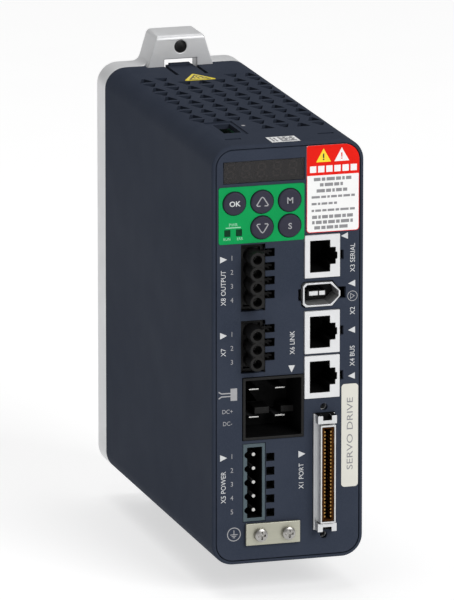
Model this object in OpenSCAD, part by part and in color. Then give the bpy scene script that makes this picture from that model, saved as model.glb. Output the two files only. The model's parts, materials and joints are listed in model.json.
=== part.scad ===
// Compact servo drive for panel mounting, in millimetres.
// The origin is the centre of the heatsink's back face. +X is to the right as seen from the front,
// +Y goes into the mounting panel and +Z is up, so the front face looks towards -Y.
// "Depth" below always means the distance behind the front face.

/* [Housing] */
// Width of the housing and of the heatsink plate
width = 55; // [54.8:0.1:56]
// Height of the housing and of the heatsink plate
height = 150; // [149.6:0.2:154]
// Depth of the moulded housing, in front of the heatsink plate
housing_depth = 136; // [134:0.5:142]
// Radius of the four long edges
corner_r = 7.6; // [7:0.1:8.4]
// Thickness of the housing's walls
wall = 2.2; // [1.8:0.1:2.3]

/* [Front cover] */
// Distance from the housing's outline to the cover's seat
cover_inset = 1.25; // [1.2:0.05:1.3]
// Width of the seam around the cover
seam = 0.3; // [0.2:0.05:0.35]
// Thickness of the cover
cover_t = 2; // [1.6:0.1:2]

/* [Heatsink] */
// Thickness of the heatsink plate
plate_t = 11; // [8:0.5:14]
// Height of each mounting tab, past the plate
tab_h = 11.5; // [10.5:0.5:14]
// Distance between the two mounting holes
hole_spacing = 164; // [163:0.5:166]
// Diameter of the mounting holes
hole_d = 4.5; // [4.3:0.1:5.5]
// Number of cooling fins inside the housing
fin_count = 6; // [3:1:7]

/* [Ventilation] */
// Number of vent columns, across the width
vent_columns = 7; // [5:1:7]
// Number of vent rows, along the depth
vent_rows = 12; // [8:1:12]
// Distance between vent columns
vent_pitch_x = 6.5; // [6.2:0.1:6.6]
// Distance between vent rows
vent_pitch_y = 7.73; // [7.4:0.05:7.8]

/* [Keypad] */
// Diameter of a key
key_d = 8.2; // [7.4:0.1:8.2]
// Travel of a key
key_travel = 0.8; // [0.5:0.1:0.8]
// How far a key stands out of the cover
key_proud = 0.9; // [0.6:0.1:1.5]

/* [Terminals] */
// Distance between the poles of the power terminals
pole_pitch = 5; // [5:0.01:5.08]
// How far the wire entries of the plugs stand out
collar_proud = 5.4; // [3:0.2:8]
// Diameter of a wire entry
wire_d = 3.2; // [2.6:0.1:3.4]

/* [Hidden] */
$fn = 40;
slack = 1;
overlap = 0.5;

front_y = -(plate_t + housing_depth);
side_x = width / 2;
top_z = height / 2;
shell_color = [0.21, 0.235, 0.28];
board_color = [0.05, 0.30, 0.16];
black_plastic = [0.06, 0.06, 0.065];
gold = [0.85, 0.68, 0.30];
tin = [0.78, 0.78, 0.76];

// Mounting tab
tab_base = 24.4;
tab_top = 17.4;
tab_lean = atan((tab_base - tab_top) / 2 / tab_h);
tab_step = 3;
tab_round = 2;
tab_fillet = 3;
notch_w = 12;
notch_h = 2.5;
notch_drop = 3.6;
notch_neck = 6;
notch_back_w = 17.5;

// Snap tongue that the housing hooks into each tab
tongue_w = 9.7;
tongue_l = 18;
slit_w = 1.3;
hook_h = 0.7;
hook_l = 2;
tab_clear = 0.3;

// Inner leg of the heatsink, which cools the power stage
leg_x = [-25.1, -22.1];
leg_front = 20;
leg_half_h = 70.5;
leg_gap = 0.2;
fin_l = 22;
fin_half_h = 60;
fin_t = 1.2;
fin_x = -3;
fin_pitch = 4.2;

// Vents: half widths and half length of a hole, and depth of the rearmost row
vent_wide = 2.55;
vent_narrow = 0.55;
vent_half_l = 2.75;
vent_first = 111.7;

// Service window in the top, beside the display
window_x = [-16.5, -10.3];
window_y = [22.5, 36.7];
recess_x = [-19.4, -9];
recess_y = [17.5, 39];
recess_t = 0.5;

// Front cover
cover_gap = cover_inset + seam;
cover_w = width - 2 * cover_gap;
cover_h = height - 2 * cover_gap;
cover_r = corner_r - cover_gap;
skirt_inset = wall + 0.2;
skirt_t = 1.2;
skirt_l = 4;

// Snap hooks that hold the cover, at its top and bottom
snap_x = 16.8;
snap_w = 5.8;
snap_depth = [10, 11.8];
snap_clear = 0.2;
snap_sunk = 0.6;

// Keypad and display
film_t = 0.25;
film_r = 0.8;
film_x = [-25.25, 5.8];
film_z = [40.3, 60.5];
key_gap = 0.2;
socket_gap = 0.3;
key_x = [-19.6, -9.6, 0.4];
key_z = [54.7, 45.6];
key_places = [
    [key_x[0], key_z[0]], [key_x[1], key_z[0]], [key_x[2], key_z[0]],
    [key_x[1], key_z[1]], [key_x[2], key_z[1]]
];
flange_d = 8.9;
flange_t = 0.7;
key_relief = 0.4;
flange_depth = cover_t + 0.1;
stem_d = 3;
stem_end = flange_depth + flange_t + 0.5;
switch_top = stem_end + key_travel + 0.1;
switch_size = 6;
hmi_front = 8.4;
hmi_t = 1.6;
lens_x = [-22.1, -17.9];
lens_z = 44.25;
lens_w = 2.1;
lens_h = 2.3;
display_x = [-23.5, 5.9];
display_z = [61.6, 69.4];
display_gap = 0.15;
digits = 5;
digit_w = 2.4;
digit_h = 2;
digit_z = [63.3, 65.7];
hmi_x = [-23.6, 5.6];
hmi_z = [40.8, 70.6];

// Labels
label_t = 0.15;
notice_x = [6.6, 25.7];
notice_z = [42.4, 73.4];
model_x = [19.5, 25.6];
model_z = [-49.7, -12.6];
label_r = 1.2;
code_x = [-5.4, 4.9];
code_depth = [1.8, 9.6];
rating_depth = [42, 112];
rating_z = [-38, 42];
sticker_base = 107.8;
sticker_apex = 117;
sticker_half_w = 5.2;
sticker_r = 0.5;

// Power terminals
terminal_x = -12.7;
terminal_w = 8.8;
terminal_end = 3.8;
motor_z = 27.8;
motor_poles = 4;
brake_z = 3.15;
brake_poles = 3;
header_depth = 22;
header_wall = 1.2;
header_front = 2.1;
cavity_depth = 14;
plug_front = 3.2;
plug_end = 12;
collar_d = 5.2;
wire_end = 6.5;
clamp_depth = [1, 6.4];
clamp_t = 0.35;
latch_depth = [0.8, 1.8];
latch_hook = 4.6;
latch_half_h = 0.5;
pin_r = 0.5;
pin_tip = 7;
mains_tip = 0.8;
pin_bend = 18;
mains_x = -12.3;
mains_z = -45.7;
mains_poles = 5;
mains_w = 8;
mains_end = 3;
pocket_x = [-7.9, -4.9];
pocket_h = 2.9;
pocket_shift = 1.2;
pocket_floor = 5.4;
pocket_wall = 0.3;

// DC bus socket
bus_x = -5.4;
bus_z = -19.1;
bus_w = 22.2;
bus_h = 22.4;
bus_wall = 1;
bus_proud = 0.5;
bus_floor = 17;
bus_back = 20;
blade_dx = 4.8;
blade_dz = 5;
blade_w = 3.6;
blade_t = 0.5;
blade_front = 7.5;
blade_tail = 3;
ledge_dx = 3.4;
ledge_dz = 1.8;
ledge_w = 5.4;
ledge_h = 2.4;
ledge_front = 9;

// Earth bracket
bracket_x = [-15.6, 4.2];
bracket_z = [-68.1, -60.2];
bracket_t = 1.3;
earth_x = [-10.4, -0.3];
earth_z = -64.3;
earth_head_r = 2.4;
earth_head_h = 1.9;
earth_shank_r = 1.75;
earth_shank_end = 5;
cross_half_w = 0.4;
cross_d = 1.1;
strap_x = [-8.2, -2.5];
strap_z = -64;
strap_t = 1.2;

// Modular jacks
jack_x = [5.9, 18.7];
jack_h = 15.25;
jack_z = [33.95, 6.85, -9.25];
jack_proud = 0.6;
jack_end = 20.4;
jack_depth = 16;
jack_wall = 1.9;
jack_pitch = 1.02;
// Each step of the jack's opening: its start, height and width
jack_steps = [[0, 7.3, 11.3], [7.2, 2.1, 6], [9.2, 0.7, 2.5]];
latch_x = 20.2;
latch_h = 3.3;

// Encoder socket
encoder_x = [5.1, 18.7];
encoder_z = 20.4;
encoder_h = 8.5;
encoder_wall = 0.6;
encoder_proud = 1;
encoder_end = 13;
encoder_pocket_x = [3.7, 21];
encoder_pocket_h = 4.2;
tongue_x = 10.9;
tongue_size = [6.7, 1.6];
tongue_front = 1.5;
insert_front = 7;

// Signal connector
io_x = 13.15;
io_z = -43.4;
io_contacts = 25;
io_pitch = 1.27;
io_flange_w = 7.7;
io_flange_h = 42;
io_tower_w = 5.5;
io_tower_h = 35.2;
io_tower_proud = 5.3;
io_flange_front = -0.4;
io_flange_back = 1;
io_wall = 0.5;
io_slot_w = 2.6;
io_slot_h = 32.8;
io_block_w = 6.9;
io_block_h = 2.9;
io_block_proud = 4.3;
io_lock_spacing = 46.2;
lock_r = 2.2;
lock_bore_r = 1.15;

// Boards
control_x = [18.8, 20.4];
power_x = [-8.1, -6.5];
board_front = 6.5;
board_back = 112;
board_half_h = 70.3;
post_places = [[24, 67], [108, 67], [46, -67.5], [108, -67.5]];
post_r = 2.8;
post_seat = 1.5;
post_bore_r = 1.25;
post_bore_l = 10;
screw_head_r = 2.6;
screw_head_t = 1.8;
screw_l = 7;
screw_r = 1.2;
board_hole_r = 1.6;

// Power stage
pad_t = 0.3;
module_x = leg_x[1] + pad_t;
module_t = 6;
module_y = [60, 90];
module_z = [-2, 46];
bridge_t = 4;
bridge_y = [62, 84];
bridge_z = [-46, -18];
module_screw_places = [[75, 3], [75, 41]];
module_pins = 12;
bridge_pins = 5;
bridge_screw_place = [68, -32];

// Chips on the control board: depths, z extents and height
chips = [
    [[50, 64], [10, 24], 1.4], [[46, 56], [-18, -4], 1.1], [[72, 90], [-30, -20], 1.6],
    [[30, 40], [30, 37], 1.2], [[78, 92], [34, 42], 1.2]
];

// Parts on the power board
capacitor_r = 11;
capacitor_z = [52, 29.5, 7];
capacitor_front = 70;
transformer_x = [3, 21];
transformer_y = [30, 52];
transformer_z = [44, 63];
choke_place = [56, -46];
choke_r = 7;
choke_wire_r = 3.6;
film_cap_size = [12, 18, 8.5];
film_cap_front = 26;
film_cap_z = [-34, -20];
sensor_size = [9, 12, 8];
sensor_front = 28;
sensor_z = [4, 17, 30];
relay_size = [15, 15, 20];
relay_place = [46, -8];
link_x = 6;
link_y = [92, 98];
link_z = [-36, -8];
fuse_z = [-34, -14];
resistor_x = [-3, 15];
resistor_y = [70, 114];
resistor_z = [-62, -44.5];
resistor_fins = 7;

function arc(x, z, r, a0, a1, steps = 8) = [
    for (i = [0:steps])
        let (a = a0 + (a1 - a0) * i / steps)
            [x + r * cos(a), z + r * sin(a)]
];

// Outline of a rectangle whose four corners have their own radii,
// in the order right top, left top, left bottom, right bottom
function plate_outline(xs, zs, radii) = concat(
    arc(xs[1] - radii[0], zs[1] - radii[0], radii[0], 0, 90),
    arc(xs[0] + radii[1], zs[1] - radii[1], radii[1], 90, 180),
    arc(xs[0] + radii[2], zs[0] + radii[2], radii[2], 180, 270),
    arc(xs[1] - radii[3], zs[0] + radii[3], radii[3], 270, 360)
);

// A box between two corners given as [x, depth, z]
module block(low, high) {
    translate([low.x, front_y + low.y, low.z])
        cube(high - low);
}

// A flat shape drawn in X and Z, made solid from one depth over a thickness
module sheet(depth, thickness) {
    translate([0, front_y + depth + thickness, 0])
        rotate([90, 0, 0])
            linear_extrude(thickness)
                children();
}

// A round bar along the depth
module rod(place, d0, d1, r) {
    translate([place.x, front_y + d1, place.y])
        rotate([90, 0, 0])
            cylinder(r = r, h = d1 - d0);
}

// A round bar along X, at [depth, z]
module cross_rod(place, x0, x1, r) {
    translate([x0, front_y + place.x, place.y])
        rotate([0, 90, 0])
            cylinder(r = r, h = x1 - x0);
}

module rounded_rect(w, h, r) {
    square([w - 2 * r, h], center = true);
    square([w, h - 2 * r], center = true);
    for (x = [-1, 1], z = [-1, 1])
        translate([x * (w / 2 - r), z * (h / 2 - r)])
            circle(r);
}

module centred_rect(x, z, w, h) {
    translate([x, z])
        square([w, h], center = true);
}

module both_ends() {
    children();
    mirror([0, 0, 1])
        children();
}

// ---- heatsink ----

module tab_outline() {
    z0 = top_z - 2;
    arc_z = top_z + tab_h - tab_round;
    arc_x = tab_base / 2 + tan(tab_lean) * (top_z - arc_z) - tab_round / cos(tab_lean);
    polygon(concat(
        [[-tab_base / 2, z0], [tab_base / 2, z0], [tab_base / 2, top_z]],
        arc(arc_x, arc_z, tab_round, tab_lean, 90),
        arc(-arc_x, arc_z, tab_round, 90, 180 - tab_lean),
        [[-tab_base / 2, top_z]]
    ));
}

// Fills the corners between a tab's sides and the plate
module tab_fillets() {
    reach = tab_base / 2 + tab_fillet * tan((90 - tab_lean) / 2);
    polygon(concat(
        arc(-reach, top_z + tab_fillet, tab_fillet, 270, 360 - tab_lean),
        arc(reach, top_z + tab_fillet, tab_fillet, 180 + tab_lean, 270),
        [[reach, top_z - 1], [-reach, top_z - 1]]
    ));
}

// The slot behind a snap tongue: it is narrow at the front and opens out towards the back
module tab_notch() {
    tab_front = housing_depth - tab_step;
    back = housing_depth + plate_t + slack;
    block([-notch_w / 2, tab_front - slack, top_z - notch_drop], [notch_w / 2, back, top_z + notch_h]);
    block([-notch_back_w / 2, tab_front + notch_neck, top_z - notch_drop],
          [notch_back_w / 2, back, top_z + notch_h]);
}

// Rounds the front top edge of a tab
module tab_edge_cut() {
    tab_front = housing_depth - tab_step;
    difference() {
        block([-tab_base, tab_front - slack, top_z + tab_h - tab_round],
              [tab_base, tab_front + tab_round, top_z + tab_h + slack]);
        cross_rod([tab_front + tab_round, top_z + tab_h - tab_round],
                  -tab_base - slack, tab_base + slack, tab_round);
    }
}

// The leg's corners follow the inside of the housing
module leg_outline() {
    inset = wall + leg_gap;
    intersection() {
        translate([leg_x[0], -leg_half_h]) square([leg_x[1] - leg_x[0], 2 * leg_half_h]);
        rounded_rect(width - 2 * inset, height - 2 * inset, corner_r - inset);
    }
}

module heatsink_base() {
    tab_front = housing_depth - tab_step;
    color("silver")
    difference() {
        union() {
            sheet(housing_depth, plate_t) rounded_rect(width, height, corner_r);
            both_ends() sheet(tab_front, plate_t + tab_step) tab_outline();
            both_ends() sheet(housing_depth, plate_t) tab_fillets();
            sheet(leg_front, housing_depth - leg_front + slack) leg_outline();
            for (i = [0:fin_count - 1])
                block([fin_x + i * fin_pitch, housing_depth - fin_l, -fin_half_h],
                      [fin_x + i * fin_pitch + fin_t, housing_depth + slack, fin_half_h]);
        }
        both_ends() tab_edge_cut();
        both_ends() tab_notch();
        for (side = [-1, 1])
            rod([0, side * hole_spacing / 2], tab_front - slack, housing_depth + plate_t + slack, hole_d / 2);
        for (place = concat(module_screw_places, [bridge_screw_place]))
            cross_rod(place, leg_x[0] + 0.5, leg_x[1] + slack, screw_r + 0.1);
    }
}

// ---- housing ----

// Columns count from the left and rows from the back. Vents are left out under the sticker
// and, on the top only, round the service window.
function vent_here(column, row, on_top) =
    !(row == 0 && column >= 2 && column <= 4)
    && !(on_top && row >= vent_rows - 2 && column <= 2);

module vent_hole(points_back) {
    back = points_back ? vent_narrow : vent_wide;
    front = points_back ? vent_wide : vent_narrow;
    polygon([
        [-front, -vent_half_l], [front, -vent_half_l], [back, vent_half_l], [-back, vent_half_l]
    ]);
}

module vents(on_top) {
    for (column = [0:vent_columns - 1], row = [0:vent_rows - 1])
        if (vent_here(column, row, on_top))
            translate([
                (column - (vent_columns - 1) / 2) * vent_pitch_x,
                front_y + vent_first - row * vent_pitch_y,
                top_z - wall - slack
            ])
                linear_extrude(wall + 2 * slack)
                    vent_hole((column + row) % 2 == 0);
}

module tongue_cuts() {
    z0 = top_z - wall - slack;
    z1 = top_z + slack;
    tab_front = housing_depth - tab_step - tab_clear;
    for (side = [-1, 1])
        mirror([side < 0 ? 1 : 0, 0, 0]) {
            block([tongue_w / 2, housing_depth - tongue_l, z0],
                  [tongue_w / 2 + slit_w, housing_depth + slack, z1]);
            block([tongue_w / 2, tab_front, z0],
                  [tab_base / 2 + tab_clear, housing_depth + slack, z1]);
        }
}

module snap_slots() {
    for (x = [-snap_x, snap_x])
        block([x - snap_w / 2, snap_depth[0], top_z - wall - slack],
              [x + snap_w / 2, snap_depth[1], top_z + slack]);
}

module housing_shell() {
    color(shell_color)
    difference() {
        union() {
            sheet(0, housing_depth) rounded_rect(width, height, corner_r);
            both_ends()
                block([-tongue_w / 2 + 1, housing_depth - 0.2 - hook_l, top_z - 0.5],
                      [tongue_w / 2 - 1, housing_depth - 0.2, top_z + hook_h]);
        }
        sheet(cover_t, housing_depth)
            rounded_rect(width - 2 * wall, height - 2 * wall, corner_r - wall);
        sheet(-slack, cover_t + slack)
            rounded_rect(width - 2 * cover_inset, height - 2 * cover_inset, corner_r - cover_inset);
        vents(true);
        mirror([0, 0, 1]) vents(false);
        both_ends() tongue_cuts();
        both_ends() snap_slots();
        block([recess_x[0], recess_y[0], top_z - recess_t], [recess_x[1], recess_y[1], top_z + slack]);
        block([window_x[0], window_y[0], top_z - wall - slack], [window_x[1], window_y[1], top_z]);
    }
}

// ---- front cover ----

function pole_z(z, poles, i) = z + (i - (poles - 1) / 2) * pole_pitch;

// The pockets beside a power connector, one for each pole
module pockets(z, poles, left, shift) {
    for (i = [0:poles - 1])
        translate([left, pole_z(z, poles, i) + shift - pocket_h / 2])
            square([pocket_x[1] - left, pocket_h]);
}

// Those of the plugs open into the terminal's opening, so that the latch arms can pass
module all_pockets() {
    plug_side = terminal_x + terminal_w / 2;
    pockets(motor_z, motor_poles, plug_side, pocket_shift);
    pockets(brake_z, brake_poles, plug_side, pocket_shift);
    pockets(mains_z, mains_poles, pocket_x[0], -pocket_shift);
}

// The outline of the wells behind a column of pockets
module well_outline(z, poles, shift) {
    h = (poles - 1) * pole_pitch + pocket_h + 2 * pocket_wall;
    w = pocket_x[1] - pocket_x[0] + 2 * pocket_wall;
    centred_rect((pocket_x[0] + pocket_x[1]) / 2, z + shift, w, h);
}

module encoder_outline(grow) {
    x0 = encoder_x[0] - grow;
    x1 = encoder_x[1] + grow;
    half = encoder_h / 2 + grow;
    translate([0, encoder_z])
        polygon([
            [x0 + 1, -half], [x1 - 3, -half], [x1, -0.9], [x1, 0.9], [x1 - 3, half], [x0 + 1, half],
            [x0, half - 1], [x0, 1 - half]
        ]);
}

module cover_openings() {
    centred_rect((display_x[0] + display_x[1]) / 2, (display_z[0] + display_z[1]) / 2,
                 display_x[1] - display_x[0], display_z[1] - display_z[0]);
    for (place = key_places) translate(place) circle(key_d / 2 + key_gap);
    for (x = lens_x) centred_rect(x, lens_z, lens_w + 0.2, lens_h + 0.2);
    centred_rect(terminal_x, motor_z, terminal_w, motor_poles * pole_pitch + terminal_end);
    centred_rect(terminal_x, brake_z, terminal_w, brake_poles * pole_pitch + terminal_end);
    centred_rect(mains_x, mains_z, mains_w + socket_gap, mains_poles * pole_pitch + mains_end + socket_gap);
    centred_rect(bus_x, bus_z, bus_w + socket_gap, bus_h + socket_gap);
    centred_rect((strap_x[0] + strap_x[1]) / 2, strap_z, strap_x[1] - strap_x[0] + 0.4, strap_t + 0.6);
    for (x = earth_x) translate([x, earth_z]) circle(earth_shank_r + socket_gap);
    for (z = jack_z) {
        centred_rect((jack_x[0] + jack_x[1]) / 2, z, jack_x[1] - jack_x[0] + socket_gap,
                     jack_h + socket_gap);
        translate([jack_x[1] - 0.2, z - latch_h / 2]) square([latch_x - jack_x[1] + 0.2, latch_h]);
    }
    encoder_outline(0.4);
    centred_rect((encoder_pocket_x[0] + encoder_pocket_x[1]) / 2, encoder_z,
                 encoder_pocket_x[1] - encoder_pocket_x[0], encoder_pocket_h);
    centred_rect(io_x, io_z, io_flange_w + socket_gap, io_flange_h + socket_gap);
    for (side = [-1, 1]) translate([io_x, io_z + side * io_lock_spacing / 2]) circle(1.3);
}

module snap_hooks() {
    outer = top_z - skirt_inset;
    half_w = snap_w / 2 - snap_clear;
    for (x = [-snap_x, snap_x]) {
        block([x - half_w, cover_t + skirt_l - 0.5, outer - skirt_t],
              [x + half_w, snap_depth[1] - snap_clear, outer]);
        block([x - half_w, snap_depth[0] + snap_clear, outer - skirt_t],
              [x + half_w, snap_depth[1] - snap_clear, top_z - snap_sunk]);
    }
}

module front_cover() {
    skirt_w = width - 2 * skirt_inset;
    skirt_h = height - 2 * skirt_inset;
    skirt_r = corner_r - skirt_inset;
    color(shell_color)
    difference() {
        union() {
            sheet(0, cover_t) rounded_rect(cover_w, cover_h, cover_r);
            sheet(cover_t - 0.5, skirt_l + 0.5)
                difference() {
                    rounded_rect(skirt_w, skirt_h, skirt_r);
                    rounded_rect(skirt_w - 2 * skirt_t, skirt_h - 2 * skirt_t, skirt_r - skirt_t);
                }
            both_ends() snap_hooks();
            sheet(cover_t - 0.5, pocket_floor + pocket_wall - cover_t + 0.5) {
                well_outline(motor_z, motor_poles, pocket_shift);
                well_outline(brake_z, brake_poles, pocket_shift);
                well_outline(mains_z, mains_poles, -pocket_shift);
            }
        }
        sheet(-slack, cover_t + 2 * slack) cover_openings();
        sheet(-slack, cover_t + slack) all_pockets();
        sheet(0, pocket_floor)
            for (side = [[motor_z, motor_poles, pocket_shift], [brake_z, brake_poles, pocket_shift],
                         [mains_z, mains_poles, -pocket_shift]])
                pockets(side[0], side[1], pocket_x[0], side[2]);
        for (place = key_places) rod(place, cover_t, cover_t + skirt_l + slack, flange_d / 2 + key_relief);
    }
}

// ---- display and keypad ----

module display_window() {
    color([0.12, 0.11, 0.11, 0.8])
    block([display_x[0] + display_gap, 0, display_z[0] + display_gap],
          [display_x[1] - display_gap, cover_t - 0.3, display_z[1] - display_gap]);
}

module display_module() {
    x0 = display_x[0] + 0.6;
    x1 = display_x[1] - 0.6;
    step = (x1 - x0) / digits;
    color("dimgray")
    difference() {
        block([x0, cover_t + 0.1, display_z[0] + 0.6], [x1, hmi_front, display_z[1] - 0.6]);
        for (i = [0:digits - 1], z = digit_z)
            translate([i * step, 0, z])
                block([x0 + 1.6, cover_t, 0], [x0 + 1.6 + digit_w, cover_t + 0.3, digit_h]);
    }
}

module keypad_overlay() {
    color([0.04, 0.6, 0.33])
    sheet(-film_t, film_t)
        difference() {
            polygon(plate_outline(film_x, film_z, [film_r, film_r, film_r, film_r]));
            for (place = key_places) translate(place) circle(key_d / 2 + key_gap);
            for (x = lens_x) centred_rect(x, lens_z, lens_w + 0.1, lens_h + 0.1);
        }
}

module key(place) {
    color([0.2, 0.22, 0.28]) {
        rod(place, -key_proud, flange_depth, key_d / 2);
        rod(place, flange_depth, flange_depth + flange_t, flange_d / 2);
        rod(place, flange_depth + flange_t, stem_end, stem_d / 2);
    }
}

module button_ok() key(key_places[0]);
module button_up() key(key_places[1]);
module button_mode() key(key_places[2]);
module button_down() key(key_places[3]);
module button_set() key(key_places[4]);

module hmi_board() {
    color(board_color)
    block([hmi_x[0], hmi_front, hmi_z[0]], [hmi_x[1], hmi_front + hmi_t, hmi_z[1]]);
}

module key_switches() {
    half = switch_size / 2;
    color([0.25, 0.25, 0.25])
    for (place = key_places) {
        block([place.x - half, switch_top + 0.8, place.y - half],
              [place.x + half, hmi_front, place.y + half]);
        rod(place, switch_top, switch_top + 0.8, 1.7);
    }
}

module led_lenses() {
    color([0.15, 0.3, 0.2])
    for (x = lens_x)
        block([x - lens_w / 2, -film_t, lens_z - lens_h / 2],
              [x + lens_w / 2, hmi_front, lens_z + lens_h / 2]);
}

// ---- labels ----

module notice_label() {
    color([0.95, 0.95, 0.95])
    sheet(-label_t, label_t)
        polygon(plate_outline(notice_x, notice_z, [cover_r - 0.4, 0.5, label_r, label_r]));
}

module model_label() {
    color([0.86, 0.85, 0.83])
    sheet(-label_t, label_t)
        polygon(plate_outline(model_x, model_z, [label_r, label_r, label_r, label_r]));
}

module hot_surface_sticker() {
    color([0.92, 0.86, 0.1])
    translate([0, front_y, top_z])
        linear_extrude(label_t)
            polygon(concat(
                arc(sticker_half_w, sticker_base, sticker_r, 270, 390, 4),
                arc(0, sticker_apex, sticker_r, 30, 150, 4),
                arc(-sticker_half_w, sticker_base, sticker_r, 150, 270, 4)
            ));
}

module code_label() {
    color("whitesmoke")
    block([code_x[0], code_depth[0], top_z], [code_x[1], code_depth[1], top_z + label_t]);
}

module rating_label() {
    color("whitesmoke")
    block([side_x, rating_depth[0], rating_z[0]], [side_x + label_t, rating_depth[1], rating_z[1]]);
}

// ---- power terminals ----

module terminal_header(z, poles) {
    w = terminal_w - 0.3;
    h = poles * pole_pitch + terminal_end - 0.3;
    color(black_plastic)
    difference() {
        sheet(header_front, header_depth - header_front) centred_rect(terminal_x, z, w, h);
        sheet(header_front - slack, cavity_depth - header_front + slack)
            centred_rect(terminal_x, z, w - 2 * header_wall, h - 2 * header_wall);
    }
}

// A latch arm crosses the header's rim and ends in a hook inside the pocket beside it
module latch_arm() {
    x = pocket_x[0];
    block([terminal_x, latch_depth[0], -latch_half_h], [x + 0.5, latch_depth[1], latch_half_h]);
    sheet(latch_depth[0], latch_hook - latch_depth[0])
        polygon([
            [x + 0.4, -1], [x + 1.5, -1], [x + 0.9, 0], [x + 2.1, -0.3], [x + 2.3, 0.4], [x + 0.4, 1]
        ]);
}

module terminal_plug(z, poles) {
    body_w = terminal_w - 0.3 - 2 * header_wall - 0.2;
    body_h = poles * pole_pitch + terminal_end - 0.3 - 2 * header_wall - 0.2;
    bridge_h = (poles - 1) * pole_pitch + collar_d - 0.8;
    color(black_plastic)
    difference() {
        union() {
            sheet(plug_front, plug_end - plug_front) centred_rect(terminal_x, z, body_w, body_h);
            sheet(-collar_proud + 0.4, collar_proud + plug_front)
                centred_rect(terminal_x + 0.5, z, collar_d - 1, bridge_h);
            for (i = [0:poles - 1]) {
                rod([terminal_x, pole_z(z, poles, i)], -collar_proud, plug_front + 0.5, collar_d / 2);
                translate([0, 0, pole_z(z, poles, i) + pocket_shift]) latch_arm();
            }
        }
        for (i = [0:poles - 1]) {
            rod([terminal_x, pole_z(z, poles, i)], -collar_proud - slack, wire_end, wire_d / 2);
            rod([terminal_x, pole_z(z, poles, i)], wire_end - 0.5, plug_end + slack, pin_r + 0.25);
        }
    }
}

module plug_clamps(z, poles) {
    r = wire_d / 2 - 0.05;
    color(tin)
    for (i = [0:poles - 1])
        translate([0, 0, pole_z(z, poles, i)])
            difference() {
                rod([terminal_x, 0], clamp_depth[0], clamp_depth[1], r);
                rod([terminal_x, 0], clamp_depth[0] - slack, clamp_depth[1] + slack, r - clamp_t);
            }
}

module motor_header() terminal_header(motor_z, motor_poles);
module motor_plug() terminal_plug(motor_z, motor_poles);
module motor_plug_clamps() plug_clamps(motor_z, motor_poles);
module brake_header() terminal_header(brake_z, brake_poles);
module brake_plug() terminal_plug(brake_z, brake_poles);
module brake_plug_clamps() plug_clamps(brake_z, brake_poles);

module mains_header() {
    h = mains_poles * pole_pitch + mains_end;
    color([0.27, 0.33, 0.36])
    difference() {
        sheet(0, header_depth) centred_rect(mains_x, mains_z, mains_w, h);
        sheet(-slack, cavity_depth + slack) centred_rect(mains_x + 0.2, mains_z, mains_w - 2.6, h - 2.6);
        for (i = [0:mains_poles - 1])
            translate([mains_x - mains_w / 2 + 1.6, front_y + cavity_depth, pole_z(mains_z, mains_poles, i)])
                rotate([90, 0, 0])
                    cylinder(r = 1.1, h = cavity_depth + slack);
    }
}

module header_pin(x, z, tip, r) {
    rod([x, z], tip, pin_bend + r, r);
    cross_rod([pin_bend, z], x, power_x[0], r);
}

module header_pins() {
    color(tin) {
        for (i = [0:motor_poles - 1]) header_pin(terminal_x, pole_z(motor_z, motor_poles, i), pin_tip, pin_r);
        for (i = [0:brake_poles - 1]) header_pin(terminal_x, pole_z(brake_z, brake_poles, i), pin_tip, pin_r);
        for (i = [0:mains_poles - 1])
            header_pin(mains_x, pole_z(mains_z, mains_poles, i), mains_tip, pin_r + 0.1);
    }
}

module blade_outlines() {
    for (x = [-1, 1], z = [-1, 1])
        centred_rect(bus_x + x * blade_dx, bus_z + z * blade_dz, blade_w, blade_t);
}

module dc_bus_socket() {
    inner_w = bus_w - 2 * bus_wall;
    inner_h = bus_h - 2 * bus_wall;
    color(black_plastic) {
        difference() {
            sheet(-bus_proud, bus_back + bus_proud) centred_rect(bus_x, bus_z, bus_w, bus_h);
            sheet(-bus_proud - slack, bus_floor + bus_proud + slack)
                centred_rect(bus_x, bus_z, inner_w, inner_h);
            sheet(bus_floor - slack, bus_back - bus_floor + 2 * slack) blade_outlines();
        }
        for (x = [-1, 1])
            sheet(ledge_front, bus_floor - ledge_front + overlap)
                centred_rect(bus_x + x * blade_dx + ledge_dx, bus_z - blade_dz + ledge_dz, ledge_w, ledge_h);
    }
}

module dc_bus_contacts() {
    color(tin) sheet(blade_front, bus_back + blade_tail - blade_front) blade_outlines();
}

module ground_bracket() {
    foot_depth = leg_front + 1;
    foot_back = foot_depth + strap_t;
    color([0.63, 0.63, 0.57])
    difference() {
        union() {
            block([bracket_x[0], -0.1 - bracket_t, bracket_z[0]], [bracket_x[1], -0.1, bracket_z[1]]);
            block([strap_x[0], -0.2, strap_z - strap_t / 2], [strap_x[1], foot_back, strap_z + strap_t / 2]);
            block([leg_x[1], foot_depth, strap_z - 2], [strap_x[1], foot_back, strap_z + 2]);
        }
        for (x = earth_x) rod([x, earth_z], -slack - bracket_t, slack, earth_shank_r + 0.05);
    }
}

module ground_screws() {
    seat = -0.1 - bracket_t;
    color("silver")
    for (x = earth_x)
        difference() {
            union() {
                rod([x, earth_z], seat - earth_head_h, seat, earth_head_r);
                rod([x, earth_z], seat - 0.1, earth_shank_end, earth_shank_r);
            }
            sheet(seat - earth_head_h - slack, slack + cross_d) {
                centred_rect(x, earth_z, 2 * earth_head_r + slack, 2 * cross_half_w);
                centred_rect(x, earth_z, 2 * cross_half_w, 2 * earth_head_r + slack);
            }
        }
}

// ---- signal connectors ----

module jack_opening() {
    for (step = jack_steps)
        translate([jack_x[0] + jack_wall + step[0], -step[2] / 2]) square([step[1], step[2]]);
}

module jack(z) {
    color([0.84, 0.845, 0.86])
    difference() {
        sheet(-jack_proud, jack_end + jack_proud)
            centred_rect((jack_x[0] + jack_x[1]) / 2, z, jack_x[1] - jack_x[0], jack_h);
        sheet(-jack_proud - slack, jack_depth + jack_proud + slack)
            translate([0, z])
                jack_opening();
    }
}

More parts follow.
